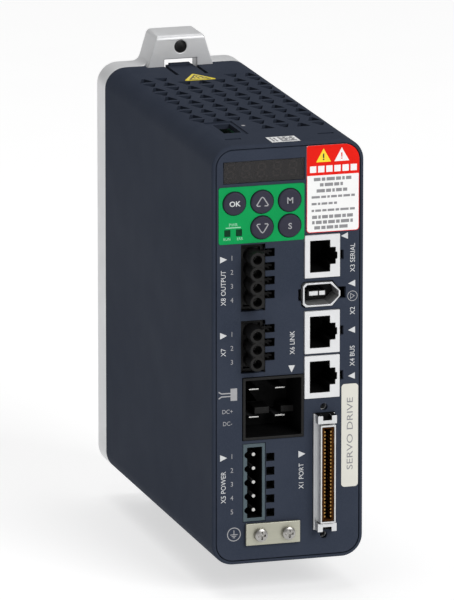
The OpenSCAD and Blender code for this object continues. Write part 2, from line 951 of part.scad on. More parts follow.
module rj45_jack_upper() jack(jack_z[0]);
module rj45_jack_middle() jack(jack_z[1]);
module rj45_jack_lower() jack(jack_z[2]);

module rj45_contacts() {
    x0 = jack_x[0] + jack_wall + 0.05;
    front = 3;
    back = 12;
    bent_l = 2.15;
    thick = 0.3;
    wide = 0.4;
    color(gold)
    for (z = jack_z, i = [0:7])
        translate([0, 0, z + (i - 3.5) * jack_pitch - wide / 2]) {
            block([x0, front, 0], [x0 + thick, back, wide]);
            block([x0, back - wide, 0], [x0 + bent_l, back, wide]);
        }
}

module encoder_shell() {
    color("silver")
    sheet(-encoder_proud, encoder_end + encoder_proud)
        difference() {
            encoder_outline(0);
            encoder_outline(-encoder_wall);
        }
}

module encoder_insert() {
    color(black_plastic) {
        sheet(insert_front, encoder_end - insert_front) encoder_outline(-encoder_wall - 0.05);
        sheet(tongue_front, insert_front - tongue_front + 0.5)
            centred_rect(tongue_x, encoder_z, tongue_size.x, tongue_size.y);
    }
}

module encoder_contacts() {
    color(tin)
    for (side = [-1, 1], i = [-1:1])
        sheet(tongue_front + 0.8, 4.5) centred_rect(tongue_x + i * 2.2, encoder_z + side * 0.9, 1.3, 0.2);
}

module io_connector_shell() {
    block_z = io_flange_h / 2 - io_block_h / 2 - 0.1;
    color([0.8, 0.81, 0.83]) {
        difference() {
            union() {
                sheet(io_flange_front, io_flange_back - io_flange_front)
                    centred_rect(io_x, io_z, io_flange_w, io_flange_h);
                sheet(-io_tower_proud, io_tower_proud) centred_rect(io_x, io_z, io_tower_w, io_tower_h);
            }
            sheet(-io_tower_proud - slack, io_tower_proud + io_flange_back + 2 * slack)
                centred_rect(io_x, io_z, io_tower_w - 2 * io_wall, io_tower_h - 2 * io_wall);
        }
        for (side = [-1, 1])
            difference() {
                sheet(-io_block_proud, io_block_proud)
                    centred_rect(io_x, io_z + side * block_z, io_block_w, io_block_h);
                sheet(-io_block_proud - slack, io_block_proud + slack - 1)
                    centred_rect(io_x, io_z + side * (block_z + 1), 3.2, 2.4);
            }
    }
}

module io_connector_insert() {
    color([0.25, 0.13, 0.04])
    difference() {
        sheet(-io_tower_proud + 0.5, io_tower_proud + 8)
            centred_rect(io_x, io_z, io_tower_w - 2 * io_wall - 0.1, io_tower_h - 2 * io_wall - 0.1);
        sheet(-io_tower_proud, io_tower_proud + 3) centred_rect(io_x, io_z, io_slot_w, io_slot_h);
    }
}

module io_connector_contacts() {
    color(gold)
    for (side = [-1, 1], i = [0:io_contacts - 1])
        sheet(-io_tower_proud + 0.6, 7)
            centred_rect(io_x + side * (io_slot_w / 2 - 0.2), io_z + (i - (io_contacts - 1) / 2) * io_pitch,
                         0.4, 0.6);
}

module io_screw_locks() {
    color(tin)
    for (side = [-1, 1])
        difference() {
            rod([io_x, io_z + side * io_lock_spacing / 2], cover_t + 0.05, cover_t + 8, lock_r);
            rod([io_x, io_z + side * io_lock_spacing / 2], cover_t - slack, cover_t + 8 + slack, lock_bore_r);
        }
}

// ---- boards ----

module control_board() {
    color(board_color)
    difference() {
        block([control_x[0], board_front, -board_half_h], [control_x[1], board_back, board_half_h]);
        for (place = post_places) cross_rod(place, control_x[0] - slack, control_x[1] + slack, board_hole_r);
    }
}

module control_chips() {
    x = control_x[1];
    color([0.1, 0.1, 0.1])
    for (chip = chips)
        block([x, chip[0][0], chip[1][0]], [x + chip[2], chip[0][1], chip[1][1]]);
}

module power_board() {
    color(board_color)
    difference() {
        union() {
            block([power_x[0], board_front, -board_half_h], [power_x[1], board_back, 39]);
            block([power_x[0], 14, 38], [power_x[1], board_back, board_half_h]);
        }
        block([power_x[0] - slack, 0, bus_z - bus_h / 2 - 0.3],
              [power_x[1] + slack, bus_back + 0.2, bus_z + bus_h / 2 + 0.3]);
        block([power_x[0] - slack, 0, bracket_z[0] - 4],
              [power_x[1] + slack, leg_front + 3, bracket_z[1] + 0.5]);
        for (place = post_places) cross_rod(place, power_x[0] - slack, power_x[1] + slack, screw_r + 0.05);
    }
}

module power_module() {
    color([0.13, 0.13, 0.14]) {
        difference() {
            block([module_x, module_y[0], module_z[0]], [module_x + module_t, module_y[1], module_z[1]]);
            for (place = module_screw_places)
                cross_rod(place, module_x - slack, module_x + module_t + slack, 1.6);
        }
        for (i = [0:module_pins - 1], y = [module_y[0] + 1, module_y[1] - 2])
            block([module_x + module_t - 0.5, y, 5 + i * 3], [power_x[0], y + 0.6, 5.8 + i * 3]);
    }
}

module rectifier_bridge() {
    color([0.16, 0.16, 0.17]) {
        difference() {
            block([module_x, bridge_y[0], bridge_z[0]], [module_x + bridge_t, bridge_y[1], bridge_z[1]]);
            cross_rod(bridge_screw_place, module_x - slack, module_x + bridge_t + slack, 1.6);
        }
        for (i = [0:bridge_pins - 1])
            block([module_x + bridge_t - 0.5, bridge_y[1] - 2, bridge_z[0] + 3 + i * 5],
                  [power_x[0], bridge_y[1] - 1.2, bridge_z[0] + 4.2 + i * 5]);
    }
}

module thermal_pads() {
    color([0.55, 0.6, 0.7])
    difference() {
        union() {
            block([leg_x[1], module_y[0], module_z[0]], [module_x, module_y[1], module_z[1]]);
            block([leg_x[1], bridge_y[0], bridge_z[0]], [module_x, bridge_y[1], bridge_z[1]]);
        }
        for (place = concat(module_screw_places, [bridge_screw_place]))
            cross_rod(place, leg_x[1] - slack, module_x + slack, 1.6);
    }
}

module module_screw(place, seat_x) {
    cross_rod(place, leg_x[0] + 0.6, seat_x + 0.1, screw_r);
    cross_rod(place, seat_x, seat_x + 2, 2.8);
}

module module_screws() {
    color("silver") {
        for (place = module_screw_places) module_screw(place, module_x + module_t);
        module_screw(bridge_screw_place, module_x + bridge_t);
    }
}

module dc_link_capacitors() {
    x = power_x[1] + 1 + capacitor_r;
    lead_gap = 3.8;
    color([0.15, 0.2, 0.35])
    for (z = capacitor_z) {
        rod([x, z], capacitor_front, board_back - 2, capacitor_r);
        for (side = [-lead_gap, lead_gap]) {
            cross_rod([capacitor_front - 1.5, z + side], power_x[1], x, pin_r);
            rod([x, z + side], capacitor_front - 2, capacitor_front + 0.5, pin_r);
        }
    }
}

module smps_transformer() {
    base_x = power_x[1];
    core_x = [base_x + transformer_x[0], base_x + transformer_x[1]];
    leg = 3;
    foot_h = 6;
    low = transformer_z[0];
    high = transformer_z[1];
    front = transformer_y[0];
    back = transformer_y[1];
    color([0.2, 0.18, 0.16]) {
        difference() {
            block([core_x[0], front, low], [core_x[1], back, low + foot_h]);
            block([core_x[0] + 5, front - 2, low - slack], [core_x[1] - 5, back + 2, low + 2]);
        }
        block([core_x[0], front, high - leg], [core_x[1], back, high]);
        block([core_x[0], front, low + foot_h], [core_x[0] + leg, back, high - leg]);
        block([core_x[1] - leg, front, low + foot_h], [core_x[1], back, high - leg]);
        block([core_x[0] + 2, front - 1, low + foot_h - 0.5], [core_x[1] - 2, back + 1, high - leg + 0.5]);
        block([base_x, front - 1, low], [core_x[0], back + 1, high]);
    }
}

module common_mode_choke() {
    foot_half = 10;
    color([0.55, 0.3, 0.12]) {
        translate([power_x[1] + 5, front_y + choke_place.x, choke_place.y])
            rotate([0, 90, 0])
                rotate_extrude()
                    translate([choke_r, 0])
                        circle(choke_wire_r);
        block([power_x[1], choke_place.x - foot_half, choke_place.y - foot_half],
              [power_x[1] + 1.6, choke_place.x + foot_half, choke_place.y + foot_half]);
    }
}

module film_capacitors() {
    color([0.8, 0.7, 0.2])
    for (z = film_cap_z)
        block([power_x[1], film_cap_front, z], [power_x[1], film_cap_front, z] + film_cap_size);
}

module current_sensors() {
    color([0.15, 0.15, 0.16])
    for (z = sensor_z)
        block([power_x[1], sensor_front, z], [power_x[1], sensor_front, z] + sensor_size);
}

module inrush_relay() {
    color([0.1, 0.25, 0.5])
    block([power_x[1], relay_place[0], relay_place[1]],
          [power_x[1], relay_place[0], relay_place[1]] + relay_size);
}

module input_fuse() {
    x = power_x[1] + 3.4;
    depth = 66;
    clip_h = 5;
    color([0.9, 0.88, 0.8]) {
        translate([x, front_y + depth, fuse_z[0]]) cylinder(r = 2.6, h = fuse_z[1] - fuse_z[0]);
        for (z = [fuse_z[0], fuse_z[1] - clip_h])
            block([power_x[1], depth - 1.5, z], [x, depth + 1.5, z + clip_h]);
    }
}

module braking_resistor() {
    pitch = 2.7;
    fin = 1.2;
    fin_h = 2.5;
    color([0.7, 0.6, 0.35]) {
        block([resistor_x[0], resistor_y[0], resistor_z[0]],
              [resistor_x[1], resistor_y[1], resistor_z[1] + 0.5]);
        for (i = [0:resistor_fins - 1])
            block([resistor_x[0] + i * pitch, resistor_y[0], resistor_z[1]],
                  [resistor_x[0] + i * pitch + fin, resistor_y[1], resistor_z[1] + fin_h]);
    }
}

module board_connector() {
    color(black_plastic) {
        block([power_x[1], link_y[0], link_z[0]], [link_x, link_y[1], link_z[1]]);
        block([link_x - 0.5, link_y[0] + 1, link_z[0] + 1], [control_x[0], link_y[1] - 1, link_z[1] - 1]);
    }
}

module board_standoffs() {
    color(gold)
    for (place = post_places)
        for (span = [[leg_x[1] - post_seat, power_x[0]], [power_x[1], control_x[0]]])
            difference() {
                cross_rod(place, span[0], span[1], post_r);
                cross_rod(place, span[1] - post_bore_l, span[1] + slack, post_bore_r);
            }
}

module board_screws() {
    color("silver")
    for (place = post_places) {
        cross_rod(place, control_x[1], control_x[1] + screw_head_t, screw_head_r);
        cross_rod(place, control_x[0] - screw_l, control_x[1] + 0.1, screw_r);
    }
}

heatsink_base();
housing_shell();
front_cover();
display_window();
keypad_overlay();
button_ok();
button_up();
button_mode();
button_down();
button_set();
hmi_board();
key_switches();
display_module();
led_lenses();
notice_label();
model_label();
hot_surface_sticker();
code_label();
rating_label();
motor_header();
motor_plug();
motor_plug_clamps();
brake_header();
brake_plug();
brake_plug_clamps();
dc_bus_socket();
dc_bus_contacts();
mains_header();
header_pins();
ground_bracket();
ground_screws();
rj45_jack_upper();
rj45_jack_middle();
rj45_jack_lower();
rj45_contacts();
encoder_shell();
encoder_insert();
encoder_contacts();
io_connector_shell();
io_connector_insert();
io_connector_contacts();
io_screw_locks();
control_board();
control_chips();
power_board();
power_module();
rectifier_bridge();
thermal_pads();
module_screws();
dc_link_capacitors();
smps_transformer();
common_mode_choke();
film_capacitors();
current_sensors();
inrush_relay();
input_fuse();
braking_resistor();
board_connector();
board_standoffs();
board_screws();
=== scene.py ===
"""Studio scene of the servo drive: finishes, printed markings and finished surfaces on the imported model."""
import json
import math

import bmesh
import bpy
from mathutils import Matrix, Vector

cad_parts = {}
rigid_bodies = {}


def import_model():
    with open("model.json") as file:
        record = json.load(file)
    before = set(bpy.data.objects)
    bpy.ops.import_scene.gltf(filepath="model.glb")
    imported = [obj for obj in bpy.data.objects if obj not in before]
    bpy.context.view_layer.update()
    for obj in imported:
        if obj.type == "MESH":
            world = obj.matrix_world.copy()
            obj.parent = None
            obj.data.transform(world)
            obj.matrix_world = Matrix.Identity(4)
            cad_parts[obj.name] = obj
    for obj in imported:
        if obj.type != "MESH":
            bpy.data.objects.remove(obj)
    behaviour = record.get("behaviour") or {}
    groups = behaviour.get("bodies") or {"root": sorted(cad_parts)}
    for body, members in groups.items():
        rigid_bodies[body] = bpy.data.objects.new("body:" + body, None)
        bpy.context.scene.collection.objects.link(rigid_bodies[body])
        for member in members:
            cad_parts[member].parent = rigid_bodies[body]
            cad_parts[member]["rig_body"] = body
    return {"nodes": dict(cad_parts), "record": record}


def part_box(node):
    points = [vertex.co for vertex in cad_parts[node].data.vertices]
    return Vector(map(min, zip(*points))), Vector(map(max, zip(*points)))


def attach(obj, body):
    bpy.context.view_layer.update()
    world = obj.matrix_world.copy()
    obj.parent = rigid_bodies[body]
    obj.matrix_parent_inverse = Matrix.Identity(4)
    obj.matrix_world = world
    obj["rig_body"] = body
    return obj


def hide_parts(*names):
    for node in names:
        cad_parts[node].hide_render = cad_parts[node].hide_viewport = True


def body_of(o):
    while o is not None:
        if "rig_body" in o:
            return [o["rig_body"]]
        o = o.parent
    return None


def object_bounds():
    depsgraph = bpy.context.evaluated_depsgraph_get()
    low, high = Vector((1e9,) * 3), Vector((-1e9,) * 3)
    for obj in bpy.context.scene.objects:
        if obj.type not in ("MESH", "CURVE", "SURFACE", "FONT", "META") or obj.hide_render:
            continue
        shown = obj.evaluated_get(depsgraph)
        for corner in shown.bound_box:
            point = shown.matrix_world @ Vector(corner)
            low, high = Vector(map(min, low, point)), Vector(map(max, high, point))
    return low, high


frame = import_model()
CAD_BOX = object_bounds()
NODES = frame["nodes"]
SCENE = bpy.context.scene
MM = 0.001

# Datum planes of the frame, in millimetres
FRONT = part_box("front_cover")[0].y / MM
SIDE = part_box("housing_shell")[1].x / MM
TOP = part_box("code_label")[0].z / MM

# How close counts as lying in a plane, and how thick printed ink is, in millimetres
FLUSH = 0.01
INK = 0.03


# ---------------------------------------------------------------- camera, light and floor

# Fitted to the housing's edges: metres, radians and the lens in millimetres
CAMERA_PLACE = (-0.825495, -2.843583, 0.705303)
CAMERA_AZIMUTH = math.radians(-16.589)
CAMERA_ELEVATION = math.radians(13.678)
CAMERA_LENS = 501.17


def add_camera():
    data = bpy.data.cameras.new("camera")
    data.sensor_width = 36
    data.lens = CAMERA_LENS
    data.clip_start = 0.05
    data.clip_end = 60
    camera = bpy.data.objects.new("camera", data)
    SCENE.collection.objects.link(camera)
    back = Vector((
        math.sin(CAMERA_AZIMUTH) * math.cos(CAMERA_ELEVATION),
        -math.cos(CAMERA_AZIMUTH) * math.cos(CAMERA_ELEVATION),
        math.sin(CAMERA_ELEVATION),
    ))
    camera.location = CAMERA_PLACE
    camera.rotation_mode = "QUATERNION"
    camera.rotation_quaternion = (-back).to_track_quat("-Z", "Y")
    SCENE.camera = camera


def add_softbox(name, place, size, watts, target=(0, -0.07, 0)):
    data = bpy.data.lights.new(name, "AREA")
    data.shape = "RECTANGLE"
    data.size, data.size_y = size
    data.energy = watts
    light = bpy.data.objects.new(name, data)
    SCENE.collection.objects.link(light)
    light.location = place
    aim = Vector(target) - Vector(place)
    light.rotation_mode = "QUATERNION"
    light.rotation_quaternion = aim.to_track_quat("-Z", "Y")


def add_studio():
    world = bpy.data.worlds.new("studio")
    world.use_nodes = True
    world.node_tree.nodes["Background"].inputs["Color"].default_value = (1.0, 1.0, 1.0, 1)
    world.node_tree.nodes["Background"].inputs["Strength"].default_value = 0.25
    SCENE.world = world
    SCENE.view_settings.view_transform = "Standard"
    add_softbox("key_light", (0.9, -2.2, 1.5), (1.4, 1.4), 42)
    add_softbox("top_light", (-0.2, 0.2, 2.2), (1.6, 1.6), 21)
    add_floor()


def add_floor(half_size=30, drop=0.0002):
    bm = bmesh.new()
    bmesh.ops.create_grid(bm, x_segments=8, y_segments=8, size=half_size)
    bmesh.ops.translate(bm, verts=bm.verts, vec=(0, 0, CAD_BOX[0].z - drop))
    mesh = bpy.data.meshes.new("studio_floor")
    bm.to_mesh(mesh)
    bm.free()
    floor = bpy.data.objects.new("studio_floor", mesh)
    SCENE.collection.objects.link(floor)
    paint = finish(
        "studio_floor_paint", (0.52, 0.52, 0.52), spread=0.01, rough=(0.85, 0.95), grain=40, patch=400,
    )
    glow = paint.node_tree.nodes["Principled BSDF"].inputs
    glow["Emission Color"].default_value = (1, 1, 1, 1)
    glow["Emission Strength"].default_value = 0.6
    mesh.materials.append(paint)


# ---------------------------------------------------------------- materials

class Nodes:
    """A short way to write a material's node tree."""

    def __init__(self, name):
        self.material = bpy.data.materials.new(name)
        self.material.use_nodes = True
        self.tree = self.material.node_tree
        self.shader = self.tree.nodes["Principled BSDF"]
        self.place = self.tree.nodes.new("ShaderNodeTexCoord").outputs["Object"]

    def add(self, kind, **settings):
        node = self.tree.nodes.new("ShaderNode" + kind)
        for key, value in settings.items():
            setattr(node, key, value)
        return node

    def link(self, output, target):
        self.tree.links.new(output, target)

    def scaled(self, stretch):
        mapping = self.add("Mapping")
        mapping.inputs["Scale"].default_value = stretch
        self.link(self.place, mapping.inputs["Vector"])
        return mapping.outputs["Vector"]

    def noise(self, size_mm, detail=3.0, rough=0.55, stretch=(1, 1, 1)):
        node = self.add("TexNoise")
        node.inputs["Scale"].default_value = 1 / (size_mm * MM)
        node.inputs["Detail"].default_value = detail
        node.inputs["Roughness"].default_value = rough
        self.link(self.scaled(stretch), node.inputs["Vector"])
        return node.outputs["Fac"]

    def map(self, value, low, high, start=0.3, stop=0.7):
        node = self.add("MapRange")
        node.inputs["From Min"].default_value = start
        node.inputs["From Max"].default_value = stop
        node.inputs["To Min"].default_value = low
        node.inputs["To Max"].default_value = high
        self.link(value, node.inputs["Value"])
        return node.outputs["Result"]

    def blend(self, factor, first, second):
        node = self.add("Mix", data_type="RGBA")
        self.link(factor, node.inputs["Factor"])
        for socket, value in ((node.inputs[6], first), (node.inputs[7], second)):
            if isinstance(value, tuple):
                socket.default_value = (*value, 1)
            else:
                self.link(value, socket)
        return node.outputs[2]

    def bump(self, height, depth_mm):
        node = self.add("Bump")
        node.inputs["Strength"].default_value = 1.0
        node.inputs["Distance"].default_value = depth_mm * MM
        self.link(height, node.inputs["Height"])
        return node.outputs["Normal"]

    def set(self, **values):
        for key, value in values.items():
            self.shader.inputs[key.replace("_", " ").title().replace("Ior", "IOR")].default_value = value


def shade(colour, factor):
    return tuple(min(1.0, c * factor) for c in colour)


def finish(name, colour, spread=0.08, rough=(0.4, 0.55), metal=0.0, grain=0.35, relief=0.0, patch=9.0,
           specular=0.5):
    """A surface with cloudy colour, uneven gloss and a fine grain. Sizes are in millimetres."""
    made = Nodes(name)
    cloud = made.noise(patch, detail=4)
    grit = made.noise(grain, detail=2)
    gloss = made.noise(patch * 0.35, detail=5)
    clouded = made.blend(made.map(cloud, 0, 1), shade(colour, 1 - spread), shade(colour, 1 + spread))
    speckled = made.blend(made.map(grit, 0, 0.5, 0.4, 0.75), clouded, shade(colour, 1 + 2.5 * spread))
    made.link(speckled, made.shader.inputs["Base Color"])
    made.link(made.map(gloss, rough[0], rough[1]), made.shader.inputs["Roughness"])
    if relief:
        made.link(made.bump(grit, relief), made.shader.inputs["Normal"])
    made.set(metallic=metal, specular_ior_level=specular)
    return made.material


def circuit_laminate():
    """Green solder mask over copper tracks."""
    made = Nodes("circuit_laminate")
    tracks = made.add("TexBrick", offset=0.37, squash=1.6)
    tracks.inputs["Color1"].default_value = (0.006, 0.050, 0.022, 1)
    tracks.inputs["Color2"].default_value = (0.009, 0.065, 0.030, 1)
    tracks.inputs["Mortar"].default_value = (0.025, 0.13, 0.06, 1)
    tracks.inputs["Scale"].default_value = 160
    tracks.inputs["Mortar Size"].default_value = 0.012
    swap = made.add("Mapping")
    swap.inputs["Rotation"].default_value = (0, math.radians(90), 0)
    made.link(made.place, swap.inputs["Vector"])
    made.link(swap.outputs["Vector"], tracks.inputs["Vector"])
    made.link(tracks.outputs["Color"], made.shader.inputs["Base Color"])
    made.link(made.map(made.noise(3), 0.25, 0.4), made.shader.inputs["Roughness"])
    made.link(made.bump(tracks.outputs["Fac"], 0.03), made.shader.inputs["Normal"])
    made.set(specular_ior_level=0.5)
    return made.material


def wound_copper():
    """Enamelled wire turns."""
    made = Nodes("wound_copper")
    turns = made.add("TexWave", wave_type="RINGS", rings_direction="X")
    turns.inputs["Scale"].default_value = 260
    turns.inputs["Distortion"].default_value = 1.5
    made.link(made.place, turns.inputs["Vector"])
    made.link(
        made.blend(turns.outputs["Fac"], (0.12, 0.035, 0.012), (0.55, 0.20, 0.07)),
        made.shader.inputs["Base Color"],
    )
    made.link(made.map(made.noise(1), 0.2, 0.35), made.shader.inputs["Roughness"])
    made.link(made.bump(turns.outputs["Fac"], 0.3), made.shader.inputs["Normal"])
    made.set(metallic=0.7)
    return made.material


def smoked_acrylic():
    """Dark clear window, slightly hazy, with light through it."""
    made = Nodes("smoked_acrylic")
    haze = made.noise(2.5, detail=4)
    made.link(made.blend(made.map(haze, 0, 1), (0.010, 0.0085, 0.009), (0.017, 0.0145, 0.015)),
              made.shader.inputs["Base Color"])
    made.link(made.map(haze, 0.16, 0.26), made.shader.inputs["Roughness"])
    made.link(made.bump(made.noise(6, detail=1), 0.01), made.shader.inputs["Normal"])
    made.set(alpha=0.6, specular_ior_level=0.45)
    return made.material


def brushed_metal(name, colour, rough=(0.25, 0.4), along=(1, 1, 0.03), relief=0.004, spread=0.08):
    made = Nodes(name)
    lines = made.noise(0.25, detail=3, stretch=along)
    cloud = made.noise(8, detail=4)
    base = made.blend(made.map(cloud, 0, 1), shade(colour, 1 - spread), shade(colour, 1 + spread))
    made.link(made.blend(made.map(lines, 0, 0.35), base, shade(colour, 1 - 2 * spread)),
              made.shader.inputs["Base Color"])
    made.link(made.map(lines, rough[0], rough[1]), made.shader.inputs["Roughness"])
    made.link(made.bump(lines, relief), made.shader.inputs["Normal"])
    made.set(metallic=1.0)
    return made.material


def spark_texture(name, painted_light_lift=1.0):
    """A fine eroded mould texture, in a dark blue grey. A lift above 1 makes it lighter, as painted light."""
    made = Nodes(name)
    cloud = made.noise(14, detail=5)
    pits = made.noise(0.45, detail=3, rough=0.6)
    flow = made.noise(30, detail=2, stretch=(1, 0.25, 0.6))
    tones = ((0.0265, 0.0335, 0.051), (0.0325, 0.040, 0.059), (0.042, 0.050, 0.071))
    dark, light, worn = (shade(tone, painted_light_lift) for tone in tones)
    base = made.blend(made.map(cloud, 0, 1), dark, light)
    pitted = made.blend(made.map(pits, 0, 0.55, 0.35, 0.8), base, worn)
    made.link(pitted, made.shader.inputs["Base Color"])
    made.link(made.map(flow, 0.66, 0.8), made.shader.inputs["Roughness"])
    made.link(made.bump(pits, 0.02), made.shader.inputs["Normal"])
    made.set(specular_ior_level=0.04)
    return made.material


def make_finishes():
    """One material for each of the record's slots."""
    return {
        "housing_plastic": spark_texture("housing_moulding"),
        "heatsink_alloy": finish(
            "cast_alloy", (0.72, 0.725, 0.735), spread=0.03, rough=(0.38, 0.5), metal=0.3, grain=0.3,
            relief=0.012, patch=18,
        ),
        "smoked_window": smoked_acrylic(),
        "keypad_film": finish(
            "keypad_film", (0.002, 0.3, 0.078), spread=0.07, rough=(0.5, 0.6), grain=0.25, relief=0.004,
            patch=7, specular=0.1,
        ),
        "key_plastic": finish(
            "key_cap", (0.026, 0.026, 0.043), spread=0.09, rough=(0.5, 0.62), grain=0.3, relief=0.008,
            patch=3, specular=0.2,
        ),
        "board_laminate": circuit_laminate(),
        "component_dark": finish(
            "moulded_epoxy", (0.017, 0.017, 0.019), spread=0.25, rough=(0.45, 0.65), grain=0.3,
            relief=0.02, patch=3,
        ),
        "lens_plastic": finish(
            "lamp_lens", (0.004, 0.036, 0.016), spread=0.2, rough=(0.45, 0.6), grain=0.5, relief=0.004,
            patch=1.5, specular=0.08,
        ),
        "label_white": finish(
            "label_paper", (0.86, 0.86, 0.855), spread=0.018, rough=(0.42, 0.55), grain=0.3, relief=0.004,
            patch=6,
        ),
        "label_yellow": finish(
            "sticker_yellow", (0.83, 0.66, 0.02), spread=0.04, rough=(0.35, 0.5), grain=0.3, relief=0.004,
            patch=4,
        ),
        "terminal_black": finish(
            "glass_filled_black", (0.0055, 0.0053, 0.0052), spread=0.22, rough=(0.5, 0.65), grain=0.25,
            relief=0.008, patch=4, specular=0.25,
        ),
        "header_grey": finish(
            "header_moulding", (0.06, 0.088, 0.102), spread=0.1, rough=(0.4, 0.55), grain=0.3,
            relief=0.015, patch=4, specular=0.35,
        ),
        "jack_plastic": finish(
            "jack_moulding", (0.7, 0.705, 0.715), spread=0.025, rough=(0.35, 0.5), grain=0.4, relief=0.01,
            patch=5,
        ),
        "insert_brown": finish(
            "brown_insulator", (0.042, 0.0135, 0.0015), spread=0.2, rough=(0.6, 0.75), grain=0.3,
            relief=0.004, patch=3, specular=0.05,
        ),
        "connector_steel": finish(
            "nickel_shell", (0.64, 0.645, 0.655), spread=0.03, rough=(0.3, 0.4), metal=0.7, grain=0.4,
            relief=0.001, patch=4,
        ),
        "tinned_copper": finish(
            "tinned_copper", (0.55, 0.545, 0.53), spread=0.05, rough=(0.28, 0.4), metal=1.0, grain=0.3,
            relief=0.0012, patch=2,
        ),
        "gold_contact": finish(
            "gold_contact", (0.42, 0.235, 0.07), spread=0.06, rough=(0.3, 0.42), metal=1.0, grain=0.2,
            relief=0.001, patch=1,
        ),
        "earth_plate": brushed_metal(
            "zinc_plate", (0.47, 0.465, 0.385), rough=(0.42, 0.55), along=(0.03, 1, 1),
        ),
        "screw_steel": finish(
            "screw_steel", (0.38, 0.372, 0.355), spread=0.04, rough=(0.3, 0.38), metal=1.0, grain=0.5,
            relief=0.0006, patch=2,
        ),
        "brass_post": finish(
            "brass_post", (0.72, 0.5, 0.2), spread=0.06, rough=(0.25, 0.4), metal=1.0, grain=0.4,
            relief=0.002, patch=3,
        ),
        "thermal_pad": finish(
            "thermal_pad", (0.28, 0.33, 0.42), spread=0.08, rough=(0.7, 0.85), grain=0.5, relief=0.03,
            patch=3,
        ),
        "capacitor_sleeve": finish(
            "capacitor_sleeve", (0.012, 0.018, 0.045), spread=0.15, rough=(0.25, 0.4), grain=1.5,
            relief=0.03, patch=6,
        ),
        "film_yellow": finish(
            "film_capacitor_case", (0.62, 0.45, 0.03), spread=0.08, rough=(0.3, 0.45), grain=0.5,
            relief=0.02, patch=4,
        ),
        "choke_winding": wound_copper(),
        "resistor_case": brushed_metal("resistor_extrusion", (0.55, 0.45, 0.2), along=(1, 0.03, 1)),
        "fuse_ceramic": finish(
            "fuse_ceramic", (0.78, 0.76, 0.68), spread=0.04, rough=(0.3, 0.45), grain=0.6, relief=0.01,
            patch=3,
        ),
    }


def make_inks():
    """Screen inks, the display's diffuser, the strip label's stock and the near black painted shade inside
    sockets.
    """
    return {
        "white": finish(
            "ink_white", (0.6, 0.61, 0.62), spread=0.05, rough=(0.5, 0.65), grain=0.2, relief=0.004,
            patch=2,
        ),
        "pale": finish(
            "ink_pale", (0.33, 0.33, 0.345), spread=0.06, rough=(0.5, 0.65), grain=0.2, relief=0.004,
            patch=2,
        ),
        "mint": finish(
            "ink_mint", (0.3, 0.62, 0.42), spread=0.06, rough=(0.5, 0.65), grain=0.2, relief=0.004,
            patch=2,
        ),
        "red": finish(
            "ink_red", (0.74, 0.01, 0.004), spread=0.05, rough=(0.5, 0.6), grain=0.3, relief=0.003,
            patch=5, specular=0.1,
        ),
        "yellow": finish(
            "ink_yellow", (0.9, 0.66, 0.012), spread=0.04, rough=(0.35, 0.5), grain=0.3, relief=0.004,
            patch=3,
        ),
        "snow": finish(
            "ink_snow", (0.86, 0.84, 0.84), spread=0.03, rough=(0.35, 0.5), grain=0.3, relief=0.004,
            patch=3,
        ),
        "black": finish(
            "ink_black", (0.012, 0.012, 0.012), spread=0.2, rough=(0.35, 0.5), grain=0.3, relief=0.004,
            patch=3,
        ),
        "grey": finish(
            "ink_grey", (0.23, 0.23, 0.24), spread=0.08, rough=(0.4, 0.55), grain=0.3, relief=0.004,
            patch=3,
        ),
        "segment": finish(
            "segment_diffuser", (0.3, 0.25, 0.2), spread=0.1, rough=(0.5, 0.7), grain=0.3, relief=0.01,
            patch=2,
        ),
        # Near black painted shade for the insides of sockets, plug pockets and contacts.
        "painted_shade": finish(
            "socket_painted_shade", (0.0028, 0.0028, 0.003), spread=0.2, rough=(0.6, 0.75), grain=0.3,
            relief=0.004, patch=4, specular=0.12,
        ),
        "stock": finish(
            "strip_label_stock", (0.69, 0.68, 0.615), spread=0.02, rough=(0.45, 0.58), grain=0.3,
            relief=0.003, patch=6, specular=0.3,
        ),
    }


FINISH = make_finishes()
INKS = make_inks()
SLOT_OF = {name: node.data.materials[0].name for name, node in NODES.items()}


# ---------------------------------------------------------------- mesh helpers

def box_mm(node):
    low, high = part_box(node)
    return low / MM, high / MM


def centre_mm(node):
    low, high = box_mm(node)
    return (low + high) / 2


def add_piece(name, bm, material, body="drive", smooth=35):
    """Makes a piece from a bmesh drawn in metres, and lets it ride on a body."""
    bmesh.ops.recalc_face_normals(bm, faces=bm.faces)
    mesh = bpy.data.meshes.new(name)
    bm.to_mesh(mesh)
    bm.free()
    mesh.materials.append(material)
    mesh.shade_smooth()
    mesh.set_sharp_from_angle(angle=math.radians(smooth))
    piece = bpy.data.objects.new(name, mesh)
    SCENE.collection.objects.link(piece)
    even = piece.modifiers.new("even_normals", "WEIGHTED_NORMAL")
    even.keep_sharp = True
    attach(piece, body)
    return piece


def node_mesh(node):
    """A welded copy of a CAD node's mesh, with flat regions merged into single faces."""
    bm = bmesh.new()
    bm.from_mesh(NODES[node].data)
    bmesh.ops.remove_doubles(bm, verts=bm.verts, dist=1e-6)
    bmesh.ops.dissolve_limit(
        bm, angle_limit=math.radians(0.5), use_dissolve_boundaries=False, verts=bm.verts, edges=bm.edges,
    )
    return bm


def sharp_edges(bm, wanted=None, angle=50):
    """The edges that turn by more than the angle in degrees, of those that wanted(edge) picks."""
    limit = math.radians(angle)
    return [
        e for e in bm.edges
        if len(e.link_faces) == 2 and e.calc_face_angle(0) > limit and (wanted is None or wanted(e))
    ]


def round_edges(bm, edges, radius, segments):
    """Rounds edges to a radius in millimetres."""
    bmesh.ops.bevel(
        bm, geom=edges, offset=radius * MM, offset_type="OFFSET", segments=segments, profile=0.5,
        affect="EDGES", clamp_overlap=False, loop_slide=False,
    )


def finished(node, radius=0.0, segments=2, wanted=None):
    """A CAD node's shape with its sharp edges rounded, standing for that node."""
    bm = node_mesh(node)
    if radius:
        round_edges(bm, sharp_edges(bm, wanted), radius, segments)
    return stand_for(node, bm)


